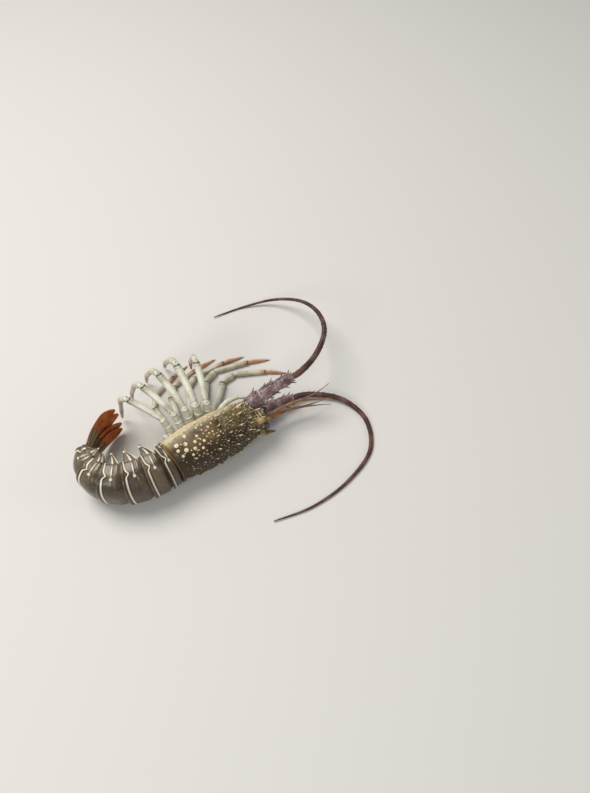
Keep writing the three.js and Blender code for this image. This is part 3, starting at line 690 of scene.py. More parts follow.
big_turn, big_share, big_length = main_thorns()
big_roots = carapace_point(big_turn, big_share)
stud_turn, stud_share, stud_radii, stud_heights, stud_cream = stud_places(big_roots)
stud_centres = np.concatenate([carapace_point(stud_turn, stud_share), big_roots])
big_radii = 1.3 + 0.15 * big_length
shield, cream, ring = raise_studs(
    shield, normals, stud_centres, np.concatenate([stud_radii, big_radii]),
    np.concatenate([stud_heights, 0.35 + 0 * big_radii]), np.concatenate([stud_cream, 0 * big_radii]),
)
up = np.cos(turn)
belly_edge = step(-up, -0.22, 0.4) * step(share, 0.0, 0.05)
fading = (1 - 0.55 * share * (up > -0.6)) * (1 - 0.55 * step(share, 0.74, 0.92) * (up > -0.45))
fold = bell(up + 0.3, 0.05) * step(0.5 - share, 0.0, 0.2)
cheek = bell(up + 0.02, 0.2) * bell(share - 0.93, 0.045)
stripes = cheek * step(np.cos(share * 2 * np.pi / 0.021 + 2.5 * up), -0.2, 0.5)
orbit = bell(share - 0.988, 0.01) * bell(up - 0.72, 0.25)
marks = {
    "cream": np.maximum(cream, 0.4 * stripes * (up < 0.08)) + 0.8 * orbit,
    "pale": np.maximum(belly_edge * fading, 0.8 * fold) + 0.15 * cheek + 0.5 * orbit,
    "dark": 0.3 * bell(share - neck_share(up), 0.014) + 0.3 * bell(share - 0.05, 0.012) * (up > -0.2)
    + 0.35 * step(cheek, 0.3, 0.6) * (1 - stripes) * (up < 0.1) + 0.3 * ring * (1 - belly_edge),
    "warm": 0.5 * bell(share - 0.012, 0.01) + 0.8 * bell(up - 0.2, 0.12) * bell(share - 0.93, 0.035),
    "blue": 0.7 * bell(up - 0.42, 0.12) * bell(share - 0.92, 0.035) * (waves(shield, 5, 5) > -0.3),
    # deep: painted shade, darker towards the back, which faces away from the main light
    "deep": 0.85 * step(up, 0.1, 0.9),
}
inward = np.linspace(0, 1, 22)[1:-1, None]
front_rim = shield[-1]
recess = np.stack([
    lerp(front_rim[:, 0] - 2.4 * step(inward, 0, 0.3), CARAPACE_LENGTH - 5, inward**2),
    front_rim[:, 1] * (1 - inward**1.4),
    lerp(front_rim[:, 2], -1.0, inward**1.4),
], axis=-1)
recess_marks = {"pale": 0.45, "dark": 0.3, "warm": 0.3}
marks = {
    key: np.concatenate([value, np.full(recess.shape[:2], recess_marks.get(key, 0.0))])
    for key, value in marks.items()
}
shield_patch = closed_tube(np.concatenate([shield, recess]),
                           ends=(vec(1, 0, 2), vec(CARAPACE_LENGTH - 5, 0, -1)), **marks)

# %% Thorns and horns of the carapace


def carapace_out(turn_here, share_here, forward=0.9):
    """The way out of the shell at a place, leaning forward."""
    here = carapace_point(turn_here, share_here)
    beside = carapace_point(turn_here + 0.02, share_here) - here
    ahead = unit(carapace_point(turn_here, share_here + 0.01) - here)
    out = unit(np.cross(ahead, beside))
    out = out * np.sign(np.sum(out[..., 1:] * here[..., 1:], axis=-1, keepdims=True))
    return unit(out + forward * ahead)


small = (stud_share > 0.42) & (stud_radii > 0.55)
small_length = 0.7 + 1.0 * (stud_share[small] - 0.3) + 0.3 * random.random(small.sum())
horn_turn, horn_share, horn_length = np.array([
    (side * math.radians(degrees), share_here, length)
    for side in (1, -1) for degrees, share_here, length in (
        (23, 0.86, 2.6), (45, 0.87, 3.0), (20, 0.93, 2.2), (50, 0.93, 2.6),
        (8, 0.975, 2.2), (56, 0.975, 1.8), (64, 0.98, 1.6), (81, 0.98, 1.8),
        (88, 0.98, 1.4), (95, 0.98, 1.6), (102, 0.98, 1.2),
    )
]).T
thorn_turn = np.concatenate([big_turn, stud_turn[small], horn_turn])
thorn_share = np.concatenate([big_share, stud_share[small], horn_share])
thorn_length = np.concatenate([big_length, small_length, horn_length])
thorn_radius = np.concatenate([
    0.75 + 0.2 * big_length, 0.32 + 0.14 * small_length, 0.5 + 0.15 * horn_length,
])
thorn_patch = thorns(
    carapace_point(thorn_turn, thorn_share), carapace_out(thorn_turn, thorn_share),
    thorn_length, thorn_radius, lean=vec(0.25, 0, 0), sides=8, rings=7, material=1,
    cream=0.25, pale=step(-np.cos(thorn_turn), -0.3, 0.15),
)
edge_thorns = [
    thorns(
        carapace_point(side * math.radians(degrees), 0.965), vec(1, 0.22 * side, 0.16), length, 1.8,
        lean=vec(0.1, 0, 0.06), sides=14, rings=10, material=1,
    )
    for side in (1, -1) for degrees, length in ((40, 7), (72, 7.5))
]


def horn(side):
    """A horn over the eye: a quadratic curve forward and up, thin as (1 - share)^0.8, slightly flattened."""
    share_here = np.linspace(-0.14, 1, 54)[:, None]
    a = vec(CARAPACE_LENGTH - 11, side * 10.2, 10.5)
    b = vec(CARAPACE_LENGTH - 0.5, side * 13, 14.5)
    c = vec(CARAPACE_LENGTH - 11 + HORN_REACH, side * 12.8, 19.2)
    centres = (1 - share_here) ** 2 * a + 2 * share_here * (1 - share_here) * b + share_here**2 * c
    facings = unit((1 - share_here) * (b - a) + share_here * (c - b))
    s = share_here[:, 0]
    radius = HORN_RADIUS * np.maximum(1 - s, 0) ** 0.8 + 0.25 + 0.9 * bell(s - 0.02, 0.13)
    turn_here = turns(28)
    fluting = 0.1 * np.sin(5 * turn_here)[None] * bell(s - 0.45, 0.3)[:, None]
    return sweep(centres, facings, radius, radius * 1.1, 28, relief=fluting, material=2,
                 tip=step(s, 0.66, 1.0)[:, None], cream=(0.9 * bell(s - 0.45, 0.13))[:, None],
                 warm=step(0.42 - s, 0.0, 0.2)[:, None], dark=(0.8 * bell(s - 0.66, 0.05))[:, None])


make_piece(
    "carapace_shell", [shield_patch, thorn_patch, *edge_thorns, horn(1), horn(-1)],
    [carapace_finish, thorn_finish, horn_finish], ["carapace"],
)

# %% [markdown]
# ## Tail
# Six rings of smooth shell slide over one another. The middle line of the tail is a chain of arcs, so every
# ring is the same function of turn and share, bent by its own heading. Each ring is low where it goes under
# the ring before it and has a cream band with dark edges near its hind rim.

# %% Shape of the tail


def tail_step(i, length, share_here):
    """How far an arc's chord has gone at a share of its length."""
    turned = math.radians(TAIL_HEADINGS[i + 1] - TAIL_HEADINGS[i]) * share_here
    chord = length * share_here * np.sinc(turned / 2 / np.pi)
    heading = math.radians(TAIL_HEADINGS[i]) + turned / 2
    return np.stack(np.broadcast_arrays(-chord * np.cos(heading), 0.0 * chord, -chord * np.sin(heading)),
                    axis=-1)


tail_starts = [vec(-HIND_CORNER + HIND_NOTCH + GAP, 0, -0.5)]
for number, length in enumerate(TAIL_LENGTHS):
    tail_starts.append(tail_starts[number] + tail_step(number, length, np.float64(1)))


def tail_point(i, share_here, left, out):
    """A point of ring i: its arc, plus left along Y, plus out along the arc's own normal."""
    heading = np.radians(TAIL_HEADINGS[i] + (TAIL_HEADINGS[i + 1] - TAIL_HEADINGS[i]) * share_here)
    arc = tail_starts[i] + tail_step(i, TAIL_LENGTHS[i], share_here)
    return arc + np.stack(np.broadcast_arrays(-out * np.sin(heading), left, out * np.cos(heading)), axis=-1)


def ring_patch(i):
    """A D-shaped ring: low at its front, raised at the hind rim, with its marks."""
    rows, columns = 84, 240
    share_here, turn_here = share_and_turn(rows, columns)
    side, up = np.sin(turn_here), np.cos(turn_here)
    half_width = lerp(TAIL_WIDTHS[i], TAIL_WIDTHS[i + 1], share_here)
    back = lerp(TAIL_BACKS[i], TAIL_BACKS[i + 1], share_here)
    relief = (
        -1.9 * bell(share_here, 0.16) + 0.7 * bell(share_here - 0.93, 0.09)
        - 0.5 * bell(share_here - 1, 0.02)
    )
    relief = relief - 0.35 * bell(share_here - 0.34, 0.03) * step(np.abs(side), 0.3, 0.7)
    height = np.where(up > 0, back + relief, TAIL_BELLY + 0.5 * np.cos(share_here * 12 * np.pi))
    trimmed = lerp(0.15 / TAIL_LENGTHS[i], 1 - 0.15 / TAIL_LENGTHS[i], share_here)
    left = squared(side, 0.8) * (half_width + relief * (up > -0.5))
    points = tail_point(i, trimmed, left, np.where(up > 0, squared(up, 0.9), squared(up, 0.4)) * height)
    shell_side = step(up, -0.75, -0.55)
    mm = 1 / TAIL_LENGTHS[i]
    jog = 0.8 - 2.2 * mm * bell(up - 0.28, 0.1) + 1.0 * mm * step(0.2 - up, 0.0, 0.4)
    band = bell(share_here - jog, 0.6 * mm) * shell_side
    lines = (bell(share_here - jog + 1.3 * mm, 0.5 * mm)
             + bell(share_here - jog - 1.3 * mm, 0.4 * mm)) * shell_side
    tear = (
        bell(share_here - 0.42, 1.3 * mm) * bell(up - 0.42, 0.06)
        + bell(share_here - 0.42, 0.5 * mm) * bell(up - 0.12, 0.22)
    )
    bar = bell(share_here - 0.2, 0.4 * mm) * bell(up - 0.0, 0.22)
    return closed_tube(
        points,
        cream=np.clip(band + 0.9 * tear + 0.7 * bar, 0, 1) * shell_side,
        dark=lines * 0.9 + 0.6 * bell(share_here - 0.02, 0.06) * shell_side,
        pale=0.9 * (1 - shell_side) + 0.25 * step(np.abs(side), 0.85, 1.0),
        warm=0.22 * bell(share_here - 1, 0.03) * shell_side,
    )


def pleuron_patch(i, side):
    """The hooked lobe at a ring's lower edge: half-length (1 - share^1.8)^0.9, curved back to a point."""
    rows, columns = 44, 48
    share_here, turn_here = share_and_turn(rows, columns)
    half_width = (TAIL_WIDTHS[i] + TAIL_WIDTHS[i + 1]) / 2
    depth = lerp(1, PLEURON_DROPS[i], share_here)
    long = 0.4 * (1 - share_here**1.8) ** 0.9 + 0.02
    middle = 0.46 + 0.36 * share_here**2.2
    thick = 1.3 - 0.9 * share_here
    edge = np.cos(turn_here)
    left = side * (half_width * (0.925 - 0.045 * share_here**2) + thick * squared(np.sin(turn_here), 0.7))
    points = tail_point(i, middle + long * edge, left, -depth)
    front_edge = step(-edge, 0.5, 0.9) * step(share_here, 0.0, 0.2)
    streak = bell(edge + 0.05, 0.16) * step(share_here, 0.05, 0.25) * step(0.85 - share_here, 0.0, 0.2)
    return closed_tube(
        points, cream=np.maximum(np.maximum(0.9 * streak, 0.8 * front_edge), step(share_here, 0.8, 0.96)),
        dark=0.6 * bell(edge - 0.35, 0.12) * (1 - share_here),
    )


def flap_half(share_here):
    """Half-width of a swimming flap: a sine over most of its length, to the power 0.8."""
    return 2.2 + 4.8 * np.sin(np.pi * (0.1 + 0.82 * share_here)) ** 0.8


def pleopod_patches(i, side):
    """A leaf-shaped flap hanging under the ring, wide in the middle and thin, with a fringe of hairs."""
    rows, columns = 40, 40
    share_here, turn_here = share_and_turn(rows, columns)
    depth = lerp(TAIL_BELLY - 3, PLEOPOD_DROPS[i], share_here)
    wide = flap_half(share_here)
    left = side * (12.5 + 3.5 * share_here) + wide * np.sin(turn_here)
    thick = (0.8 - 0.4 * share_here) / TAIL_LENGTHS[i]
    ribs = (
        0.14 / TAIL_LENGTHS[i] * np.cos(18 * np.sin(turn_here))
        + 0.06 * np.sin(np.pi * share_here) * np.sin(turn_here) ** 2
    )
    along = 0.42 + 0.34 * share_here + thick * np.cos(turn_here) + ribs
    flap = closed_tube(tail_point(i, along, left, -depth), material=1,
                       blue=0.7 * bell(np.sin(turn_here), 0.6) * bell(share_here - 0.6, 0.3),
                       warm=0.7 * step(share_here, 0.8, 1.0))
    count = 110
    s = random.uniform(0.45, 0.99, count)
    rim = np.sign(random.uniform(-1, 1, count)) * np.where(s > 0.9, random.uniform(0, 1, count), 1)
    deep = lerp(TAIL_BELLY - 3, PLEOPOD_DROPS[i], s)
    wide = flap_half(s)
    middle = side * (12.5 + 3.5 * s)
    roots = tail_point(i, 0.42 + 0.34 * s, middle + 0.95 * wide * rim, -deep)
    ways = tail_point(i, 0.44 + 0.36 * s, middle + 1.3 * wide * rim, -deep - 2.5) - roots
    return [flap, thorns(
        roots, ways, random.uniform(1.2, 2.0, count), 0.09, sides=4, rings=4, material=1, warm=0.9,
    )]


# %% Make the tail rings
flap_finish = shell(
    "flap_skin", "b3bbb8", "d0d3c9", "e8e8e0", [("blue", "8ba3c2", 0.8), ("warm", "b98550", 0.7)],
    rough=(0.3, 0.5), coat=0.3, grain=0.1,
)
for i in range(6):
    grown = [pleuron_patch(i, side) for side in (1, -1)]
    if PLEOPOD_DROPS[i]:
        grown += [patch for side in (1, -1) for patch in pleopod_patches(i, side)]
    node = f"abdomen_{i + 1}"
    make_piece(
        f"tail_ring_{i + 1}", [ring_patch(i), *grown], [tail_finish, flap_finish], [node],
    )

# %% [markdown]
# ## Tail fan
# The fan is a middle blade and four side blades. The root half of each is hard shell with rows of small
# thorns. The outer half is soft, ribbed with fine rays that run out to the edge, and red-orange.

# %% Blades of the fan
BLADES = {
    "telson": {"middle": 0, "splay": 0, "half": 9.5, "length": 1, "level": 3.2},
    "uropod_inner_left": {"middle": 7.5, "splay": 5, "half": 8.2, "length": 0.97, "level": 1},
    "uropod_inner_right": {"middle": -7.5, "splay": -5, "half": 8.2, "length": 0.97, "level": 1},
    "uropod_outer_left": {"middle": 9.5, "splay": 8.5, "half": 8, "length": 0.92, "level": -1.2},
    "uropod_outer_right": {"middle": -9.5, "splay": -8.5, "half": 8, "length": 0.92, "level": -1.2},
}


def blade_patches(middle, splay, half, length, level):
    """A leaf that widens as a sine to 0.7 of its length and is rounded beyond, ribbed by a cosine across."""
    rows, columns = 110, 120
    along, turn_here = share_and_turn(rows, columns)
    across = np.sin(turn_here)
    widening = 0.55 + 0.45 * np.sin(np.pi / 2 * np.minimum(1, along / 0.7))
    leaf = half * widening * (1 - 0.45 * np.maximum(0, (along - 0.7) / 0.3) ** 3)
    soft = step(along, 0.38, 0.52)
    rib = 0.2 * np.cos(11 * np.pi * across) * soft + 0.3 * bell(np.abs(across) - 0.45, 0.08) * (1 - soft)
    thick = (1.4 - 0.7 * along) / 2
    place_along = (0.006 + 0.994 * along * (1 - 0.13 * across**2)) * length
    left = middle + splay * along * length + leaf * across
    points = tail_point(6, place_along, left, level + squared(np.cos(turn_here), 0.35) * (thick + rib))
    patch = closed_tube(
        points, pale=(1 - soft) * 0.95, cream=0.8 * (1 - soft) * bell(np.abs(across) - 0.45, 0.07),
        dark=0.55 * soft * (np.cos(11 * np.pi * across) < -0.55) + 0.6 * bell(along - 0.45, 0.02),
        tip=step(along, 0.93, 1.0),
    )
    count = 46
    s = random.uniform(0.08, 0.42, count)
    a = random.uniform(-0.8, 0.8, count)
    roots = tail_point(6, s * length, middle + splay * s * length + half * 0.86 * a, level + 0.6)
    back = unit(tail_point(6, s * length + 0.02, 0 * s, level + 0.6)
                - tail_point(6, s * length, 0 * s, level + 0.6))
    out = unit(tail_point(6, s * length, 0 * s, 5 + 0 * s) - tail_point(6, s * length, 0 * s, 0 * s))
    return [patch, thorns(
        roots, back + 0.6 * out, random.uniform(0.9, 1.6, count), 0.32, sides=6, rings=4, cream=0.6,
    )]


def root_skin():
    """The soft pad in the joint before the fan: a flat barrel, half-size sqrt(1 - 0.6 t^2)."""
    t = np.linspace(-1, 1, 24)
    centres = tail_point(6, 0.02 + 0.05 * t, 0 * t, 1.2 + 0 * t)
    facings = np.gradient(centres, axis=0)
    swell = np.sqrt(1 - 0.6 * t**2)
    return sweep(centres, facings, 16 * swell, 6.2 * swell, 60, pale=1.0)


for node, sizes in BLADES.items():
    patches = blade_patches(**sizes) + ([root_skin()] if node == "telson" else [])
    make_piece(node + "_blade", patches, [fan_finish], [node])

# %% [markdown]
# ## Chest plate and head front
# The chest plate is cream, a wedge with a low bar for each pair of legs. The head front is the small plate
# between the antennae, with two thorns, and the upper lip under it.

# %% Chest plate


def sternum_patch():
    """A flat wedge: half-width falls along x, its lower face has a bar for each pair of legs."""
    rows, columns = 120, 80
    s, turn_here = share_and_turn(rows, columns)
    x = lerp(STERNUM["hind"], STERNUM["front"], s)
    half = lerp(STERNUM["hind_half"], STERNUM["front_half"], s)
    half = half * (1 - 0.45 * step(0.05 - s, 0, 0.05) ** 2 - 0.3 * step(s - 0.95, 0, 0.05) ** 2)
    wave = np.cos((x - LEG_ROOTS[4]) / 9.3 * 2 * np.pi)
    across = squared(np.sin(turn_here), 0.6)
    bar = 0.7 * wave - 1.6 * across**4
    deep = STERNUM["bottom"] + bar
    z = np.where(np.cos(turn_here) > 0, -STERNUM["top"] - 6.2,
                 -deep + 3 + squared(np.cos(turn_here), 0.4) * 3)
    ends = step(s, -0.02, 0.06) * step(1 - s, -0.02, 0.06)
    return closed_tube(np.stack([x, half * across, lerp(-18, z, 0.4 + 0.6 * ends)], axis=-1),
                       dark=0.45 * bell(wave + 1, 0.18) + 0.25 * step(np.abs(across), 0.85, 1))


make_piece("chest_plate", [sternum_patch()], [chest_finish], ["sternum"])

# %% Head front


def ellipsoid_patch(middle, halves, granules=0, furrow=0.0, rows=70, columns=90, **marks):
    """A ball stretched along the three axes, its poles on X, with granules and a furrow down its front."""
    s, turn_here = share_and_turn(rows, columns, 0.02, 0.98)
    ball = np.stack([
        -np.cos(np.pi * s), np.sin(np.pi * s) * np.sin(turn_here), np.sin(np.pi * s) * np.cos(turn_here),
    ], axis=-1)
    out = unit(ball / halves)
    points = ball * halves * (1 + 0.02 * waves(ball * halves, 4, 9))[..., None]
    points = points - (furrow * bell(points[..., 1], 0.7) * step(ball[..., 0], 0, 0.5))[..., None] * out
    front = points[ball[..., 0] > 0.1]
    centres = front[random.integers(0, len(front), granules)]
    sizes = random.uniform(0.3, 0.55, granules)
    points, cream, ring = raise_studs(points, out, centres, sizes, 0.45 * sizes, np.full(granules, 0.8))
    return closed_tube(points + middle, cream=cream, dark=0.4 * ring, **marks)


plate = ellipsoid_patch(vec(83, 0, -1), vec(10.4, 5.5, 9.4), 90, 0.9, pale=0.3, warm=0.35)
lip = ellipsoid_patch(vec(78, 0, -11), vec(7.4, 5.1, 5.1), pale=0.8)
plate_thorns = thorns(
    [vec(92, side * 2.6, -1) for side in (1, -1)], [vec(1, side * 0.2, 0.3) for side in (1, -1)],
    4, 1.2, sides=14, rings=10, material=1,
)
plate_studs = thorns(
    [vec(90.5, side * 2.6, z) for side in (1, -1) for z in (3, 0.8, -3.5)], vec(1, 0, 0.3),
    1.6, 0.7, rings=8, material=1,
)
make_piece(
    "head_plate", [plate, lip, plate_thorns, plate_studs],
    [carapace_finish, thorn_finish], ["head_front"],
)

# %% [markdown]
# ## Eyes
# Each eye is a glossy dark globe, wider than the short stalk that carries it, with a pale ring where the two
# meet. The stalk is a tube and the globe is the arc of a circle turned round the same axis.

# %% Make the eyes


def eye_patch(side):
    """Stalk and globe in one profile: a waisted neck, a pale collar and then a circle's arc."""
    root = vec(CARAPACE_LENGTH - 5, side * 8, 7.5)
    globe = vec(CARAPACE_LENGTH + 5.2, side * 13.6, 8.6)
    facing = unit(globe - root)
    span = np.linalg.norm(globe - root)
    stalk_rows, sides = 26, 60
    stalk = np.linspace(0, 1, stalk_rows)
    reach = span - EYE_RADIUS * 0.78
    arc = np.radians(np.linspace(130, 3, 50))
    place_along = np.concatenate([stalk * reach, span + EYE_RADIUS * np.cos(arc)])
    radius = np.concatenate([
        eased(stalk, (0, 2.6), (0.5, 2.7), (0.9, 3.5), (1, 3.35)), EYE_RADIUS * np.sin(arc),
    ])
    on_stalk = (np.arange(len(radius)) < stalk_rows).astype(float)
    collar = bell(place_along - reach + 0.3, 0.7)
    outer = step(place_along - span, -1.2, 2.4)
    turn_here = turns(sides)
    patch = bell(place_along - span + 1.5, 1.3)[:, None] * step(-np.cos(turn_here), 0.3, 0.9)[None]
    return sweep(
        root + facing * place_along[:, None], np.tile(facing, (len(radius), 1)), radius, radius, sides,
        pale=np.maximum(on_stalk[:, None], 0.7 * patch), cream=collar[:, None],
        warm=0.85 * (1 - on_stalk)[:, None] * (1 - outer)[:, None], dark=0.6 * outer[:, None],
    )


for name, side in SIDES.items():
    make_piece(f"eye_globe_{name}", [eye_patch(side)], [eye_finish], [f"eye_{name}"])

# %% [markdown]
# ## Legs
# A leg is a chain of hard tubes joined by soft white skin. The joints' places come from the same headings in
# plan and heights over the floor as in the solids. Each tube swells a little to its end, has a collar there,
# and is marked with a dark green ring before the joint. The last one is thin, orange-brown and pointed.

# %% Joints of a leg


def sternum_half(x):
    return lerp(STERNUM["hind_half"], STERNUM["front_half"],
                (x - STERNUM["hind"]) / (STERNUM["front"] - STERNUM["hind"]))


def leg_joints(side, index):
    """The six joints: each length keeps its size while it rises to its height and turns to its heading."""
    upper = side > 0
    heights = UPPER_HEIGHTS if upper else LOWER_HEIGHTS
    headings = UPPER_HEADINGS if upper else LOWER_HEADINGS
    root_x = LEG_ROOTS[index]
    joints = [vec(root_x, side * (sternum_half(root_x) - 1), -LEG_ROOT_DEPTH)]
    for i, (name, length) in enumerate(LEG_LENGTHS.items()):
        length = length * LEG_SIZES[index]
        heading = math.radians(lerp(headings[name][0], headings[name][1], index / 4))
        last = joints[-1]
        rise = min(max(heights[i] - FLOOR - last[1], -0.97 * length), 0.97 * length)
        flat = math.sqrt(length**2 - rise**2)
        joints.append(last + vec(flat * math.sin(heading), rise, -flat * math.cos(heading)))
    return joints


def limb_tube(start, end, marks, flatness=0.88, sides=28, rows=60, ring_at=None, bow=0.0, **tints):
    """One hard tube from joint to joint: an eased profile of half-sizes, with a slight bow and furrows."""
    s = np.linspace(0, 1, rows)
    way = unit(end - start)
    up = vec(1, 0, 0)
    deep = side_frames(way, up)[0]
    centres = start + (end - start) * s[:, None] + deep * (bow * np.sin(np.pi * s))[:, None]
    radius = eased(s, *marks)
    turn_here = turns(sides)
    furrow = (
        -0.18 * bell(np.sin(turn_here), 0.25)[None] * bell(s - 0.5, 0.35)[:, None] * radius[:, None] / 3
    )
    streaks = bell(np.cos(turn_here - 1.2), 0.16) + bell(np.cos(turn_here + 0.9), 0.12)
    streaks = 0.42 * streaks[None] * step(s, 0.08, 0.3)[:, None] * step(0.96 - s, 0, 0.2)[:, None]
    tints["warm"] = np.maximum(tints.get("warm", 0), streaks)
    tints.setdefault("dark", 0)
    if ring_at is not None:
        wavy = s[:, None] + 0.012 * np.sin(3 * turn_here)[None]
        line = bell(wavy - ring_at, 0.027) + 0.55 * bell(wavy - ring_at + 0.075, 0.014)
        tints["dark"] = np.maximum(tints["dark"], line)
    return sweep(
        centres, np.tile(way, (rows, 1)), radius, radius * flatness, sides, up, relief=furrow, **tints,
    )


def joint_skin(at, way_in, way_out, radius):
    """The soft skin in a joint: a short barrel along the mean of both directions."""
    rows = 12
    s = np.linspace(-1, 1, rows)
    facing = unit(way_in + way_out)
    profile = radius * np.sqrt(np.maximum(1 - 0.9 * s**2, 0.02))
    return sweep(
        at + facing * (s * radius)[:, None], np.tile(facing, (rows, 1)), profile, profile * 0.9,
        20, (1, 0, 0), pale=1.0,
    )


# %% Patches of a leg
TIP_MARKS = ((0, 1.7), (0.12, 2.0), (0.6, 1.35), (1, 0.22))


def leg_patches(side, index):
    joints = leg_joints(side, index)
    size = LEG_SIZES[index]
    root, hip, knee, wrist, ankle, tip = joints

    def scaled(*marks):
        return [(share_here, radius * size) for share_here, radius in marks]

    ways = [unit(b - a) for a, b in zip(joints, joints[1:])]
    bend = lerp(root, hip, 0.5)
    base = [
        limb_tube(
            root, bend, scaled((0, 3.4), (0.2, 4.2), (0.85, 4.3), (1, 3.5)), 0.9, ring_at=0.8, pale=0.5,
        ),
        limb_tube(
            bend, hip - ways[0] * 0.2, scaled((0, 3.2), (0.15, 3.6), (0.5, 3.9), (0.9, 3.9), (1, 3.0)),
            0.9, ring_at=0.86, pale=0.4,
        ),
        joint_skin(bend, ways[0], ways[0], 3.2 * size),
    ]
    merus = [
        limb_tube(
            hip + ways[1] * 0.2, knee - ways[1] * 0.3,
            scaled((0, 2.7), (0.06, 3.2), (0.25, 3.7), (0.65, 3.9), (0.93, 4.0), (1, 3.1)), 0.86,
            rows=90, ring_at=0.93, bow=0.6, cream=(0.6 * bell(np.linspace(0, 1, 90) - 0.5, 0.3))[:, None],
        ),
        joint_skin(hip, ways[0], ways[1], 2.7 * size),
        thorns(
            knee - ways[1] * 1.5 + vec(0, 2.6 * side * size, 0), vec(0, side * 0.8, -0.6), 2.6, 1.0,
            sides=12, rings=8, warm=0.4,
        ),
    ]
    shank = [
        limb_tube(
            knee + ways[2] * 0.3, wrist - ways[2] * 0.2, scaled((0, 2.6), (0.2, 3.2), (0.75, 3.4), (1, 2.5)),
            0.9, ring_at=0.84,
        ),
        joint_skin(knee, ways[1], ways[2], 2.7 * size),
        limb_tube(
            wrist, ankle - ways[3] * 0.2, scaled((0, 2.3), (0.1, 2.9), (0.6, 2.55), (0.93, 2.5), (1, 1.8)),
            0.9, rows=80, ring_at=0.92,
            warm=(0.2 + 0.15 * (index > 2) + 0.5 * step(np.linspace(0, 1, 80), 0.5, 1))[:, None],
        ),
        joint_skin(wrist, ways[2], ways[3], 2.2 * size),
        limb_tube(
            ankle, tip, scaled(*TIP_MARKS), 0.9, warm=0.9, tip=step(np.linspace(0, 1, 60), 0.72, 0.9)[:, None],
        ),
        joint_skin(ankle, ways[3], ways[4], 1.7 * size),
        bristles(ankle, tip, ways[4], size),
    ]
    return {"base": base, "merus": merus, "shank": shank}


def bristles(start, end, way, size):
    """Short stiff hairs in rows round the last length of a leg, as thin cones that lie back along it."""
    count = 90
    s = random.uniform(0.12, 0.9, count)
    turn_here = random.integers(0, 6, count) / 6 * 2 * np.pi + random.uniform(-0.15, 0.15, count)
    deep, across = side_frames(way, vec(1, 0, 0))
    out = round_way(turn_here, deep, across)
    radius = size * eased(s, *TIP_MARKS)
    roots = lerp(start, end, s[:, None]) + out * (radius * 0.85)[:, None]
    return thorns(roots, out * 0.8 + way, 1.5 * size, 0.11, sides=4, rings=3, warm=1.0)


# %% Make the legs
for name, side in SIDES.items():
    for index in range(5):
        for part, patches in leg_patches(side, index).items():
            node = f"leg_{name}_{index + 1}_{part}"
            make_piece(node + "_shell", patches, [leg_finish], [node])

# %% [markdown]
# ## Antennae
# The stout arm of each antenna has three lengths, ridged tubes with rings of thorns on mounds, pale grains
# between them and a dark line at each joint. The whip grows from it, a
# long cone of fine rings with small thorns, which bends round and comes to lie on the floor.

# %% Arms of the antennae
ARM_GRAINS = 36


def antenna_joints(side):
    spread = [9.5, 14.5, 18.5, 22] if side > 0 else [9.5, 13, 15, 16.5]
    xs, zs = (78, 97, 113, 129), (-4.5, -6, -5, -3)
    return [vec(x, side * y, z) for x, y, z in zip(xs, spread, zs)]


def arm_length(start, end, profile, large, small, phase):
    """One length of arm: a ridged tube with a collar, rings of thorns on mounds, and granules."""
    s, turn_here = np.linspace(0, 1, 100), turns(80)
    way = unit(end - start)
    deep, across = side_frames(way, vec(0, 0, 1))

    def place(share_here, angle, lift=0.0):
        out = round_way(angle, deep, across)
        ridges = 0.25 * np.cos(4 * angle) * bell(share_here - 0.5, 0.35)
        radius = eased(share_here, *profile) + ridges + lift
        return lerp(start, end, share_here[..., None]) + out * radius[..., None], out

    grid, out = place(*np.meshgrid(s, turn_here, indexing="ij"))
    patches, roots, sizes = [], [], []
    for shares, count, length in (large, small):
        angle = np.concatenate([
            (np.arange(count) + 0.5 * (k % 2)) / count * 2 * np.pi + phase for k in range(len(shares))
        ])
        at, away = place(np.repeat(shares, count), angle, -0.15)
        patches.append(thorns(at, away + 1.1 * way, length, 0.24 * length, way * 0.2, 14, 12))
        roots.append(at)
        sizes.append(np.full(len(at), 0.42 * length))
    roots, sizes = np.concatenate(roots), np.concatenate(sizes)
    grains = place(random.uniform(0.05, 0.95, ARM_GRAINS), random.uniform(0, 6.28, ARM_GRAINS))[0]
    grid, cream, ring = raise_studs(
        grid, out, np.concatenate([roots, grains]), np.append(sizes, np.full(ARM_GRAINS, 0.38)),
        np.append(0.3 * sizes, np.full(ARM_GRAINS, 0.15)), np.append(0 * sizes, np.full(ARM_GRAINS, 0.7)),
    )
    mounds = raise_studs(grid, out, roots, 1.25 * sizes, 0 * sizes, 1 + 0 * sizes)[1]
    lit = 0.5 * step(s, 0.75, 1) + 0.25 * bell(s - 0.1, 0.12)
    return [closed_tube(
        grid,
        pale=lit[:, None] + 0.5 * step(np.sin(turn_here - 0.6), 0.3, 0.9)[None]
        * step(waves(grid, 7, 8), -0.7, 0.3),
        cream=cream,
        dark=np.maximum(0.3 * ring, (0.8 * bell(s, 0.025) + 0.5 * bell(s - 0.93, 0.012))[:, None]),
        warm=np.maximum(0.8 * mounds, 0.4 * bell(s - 0.97, 0.03)[:, None]),
    ), *patches]


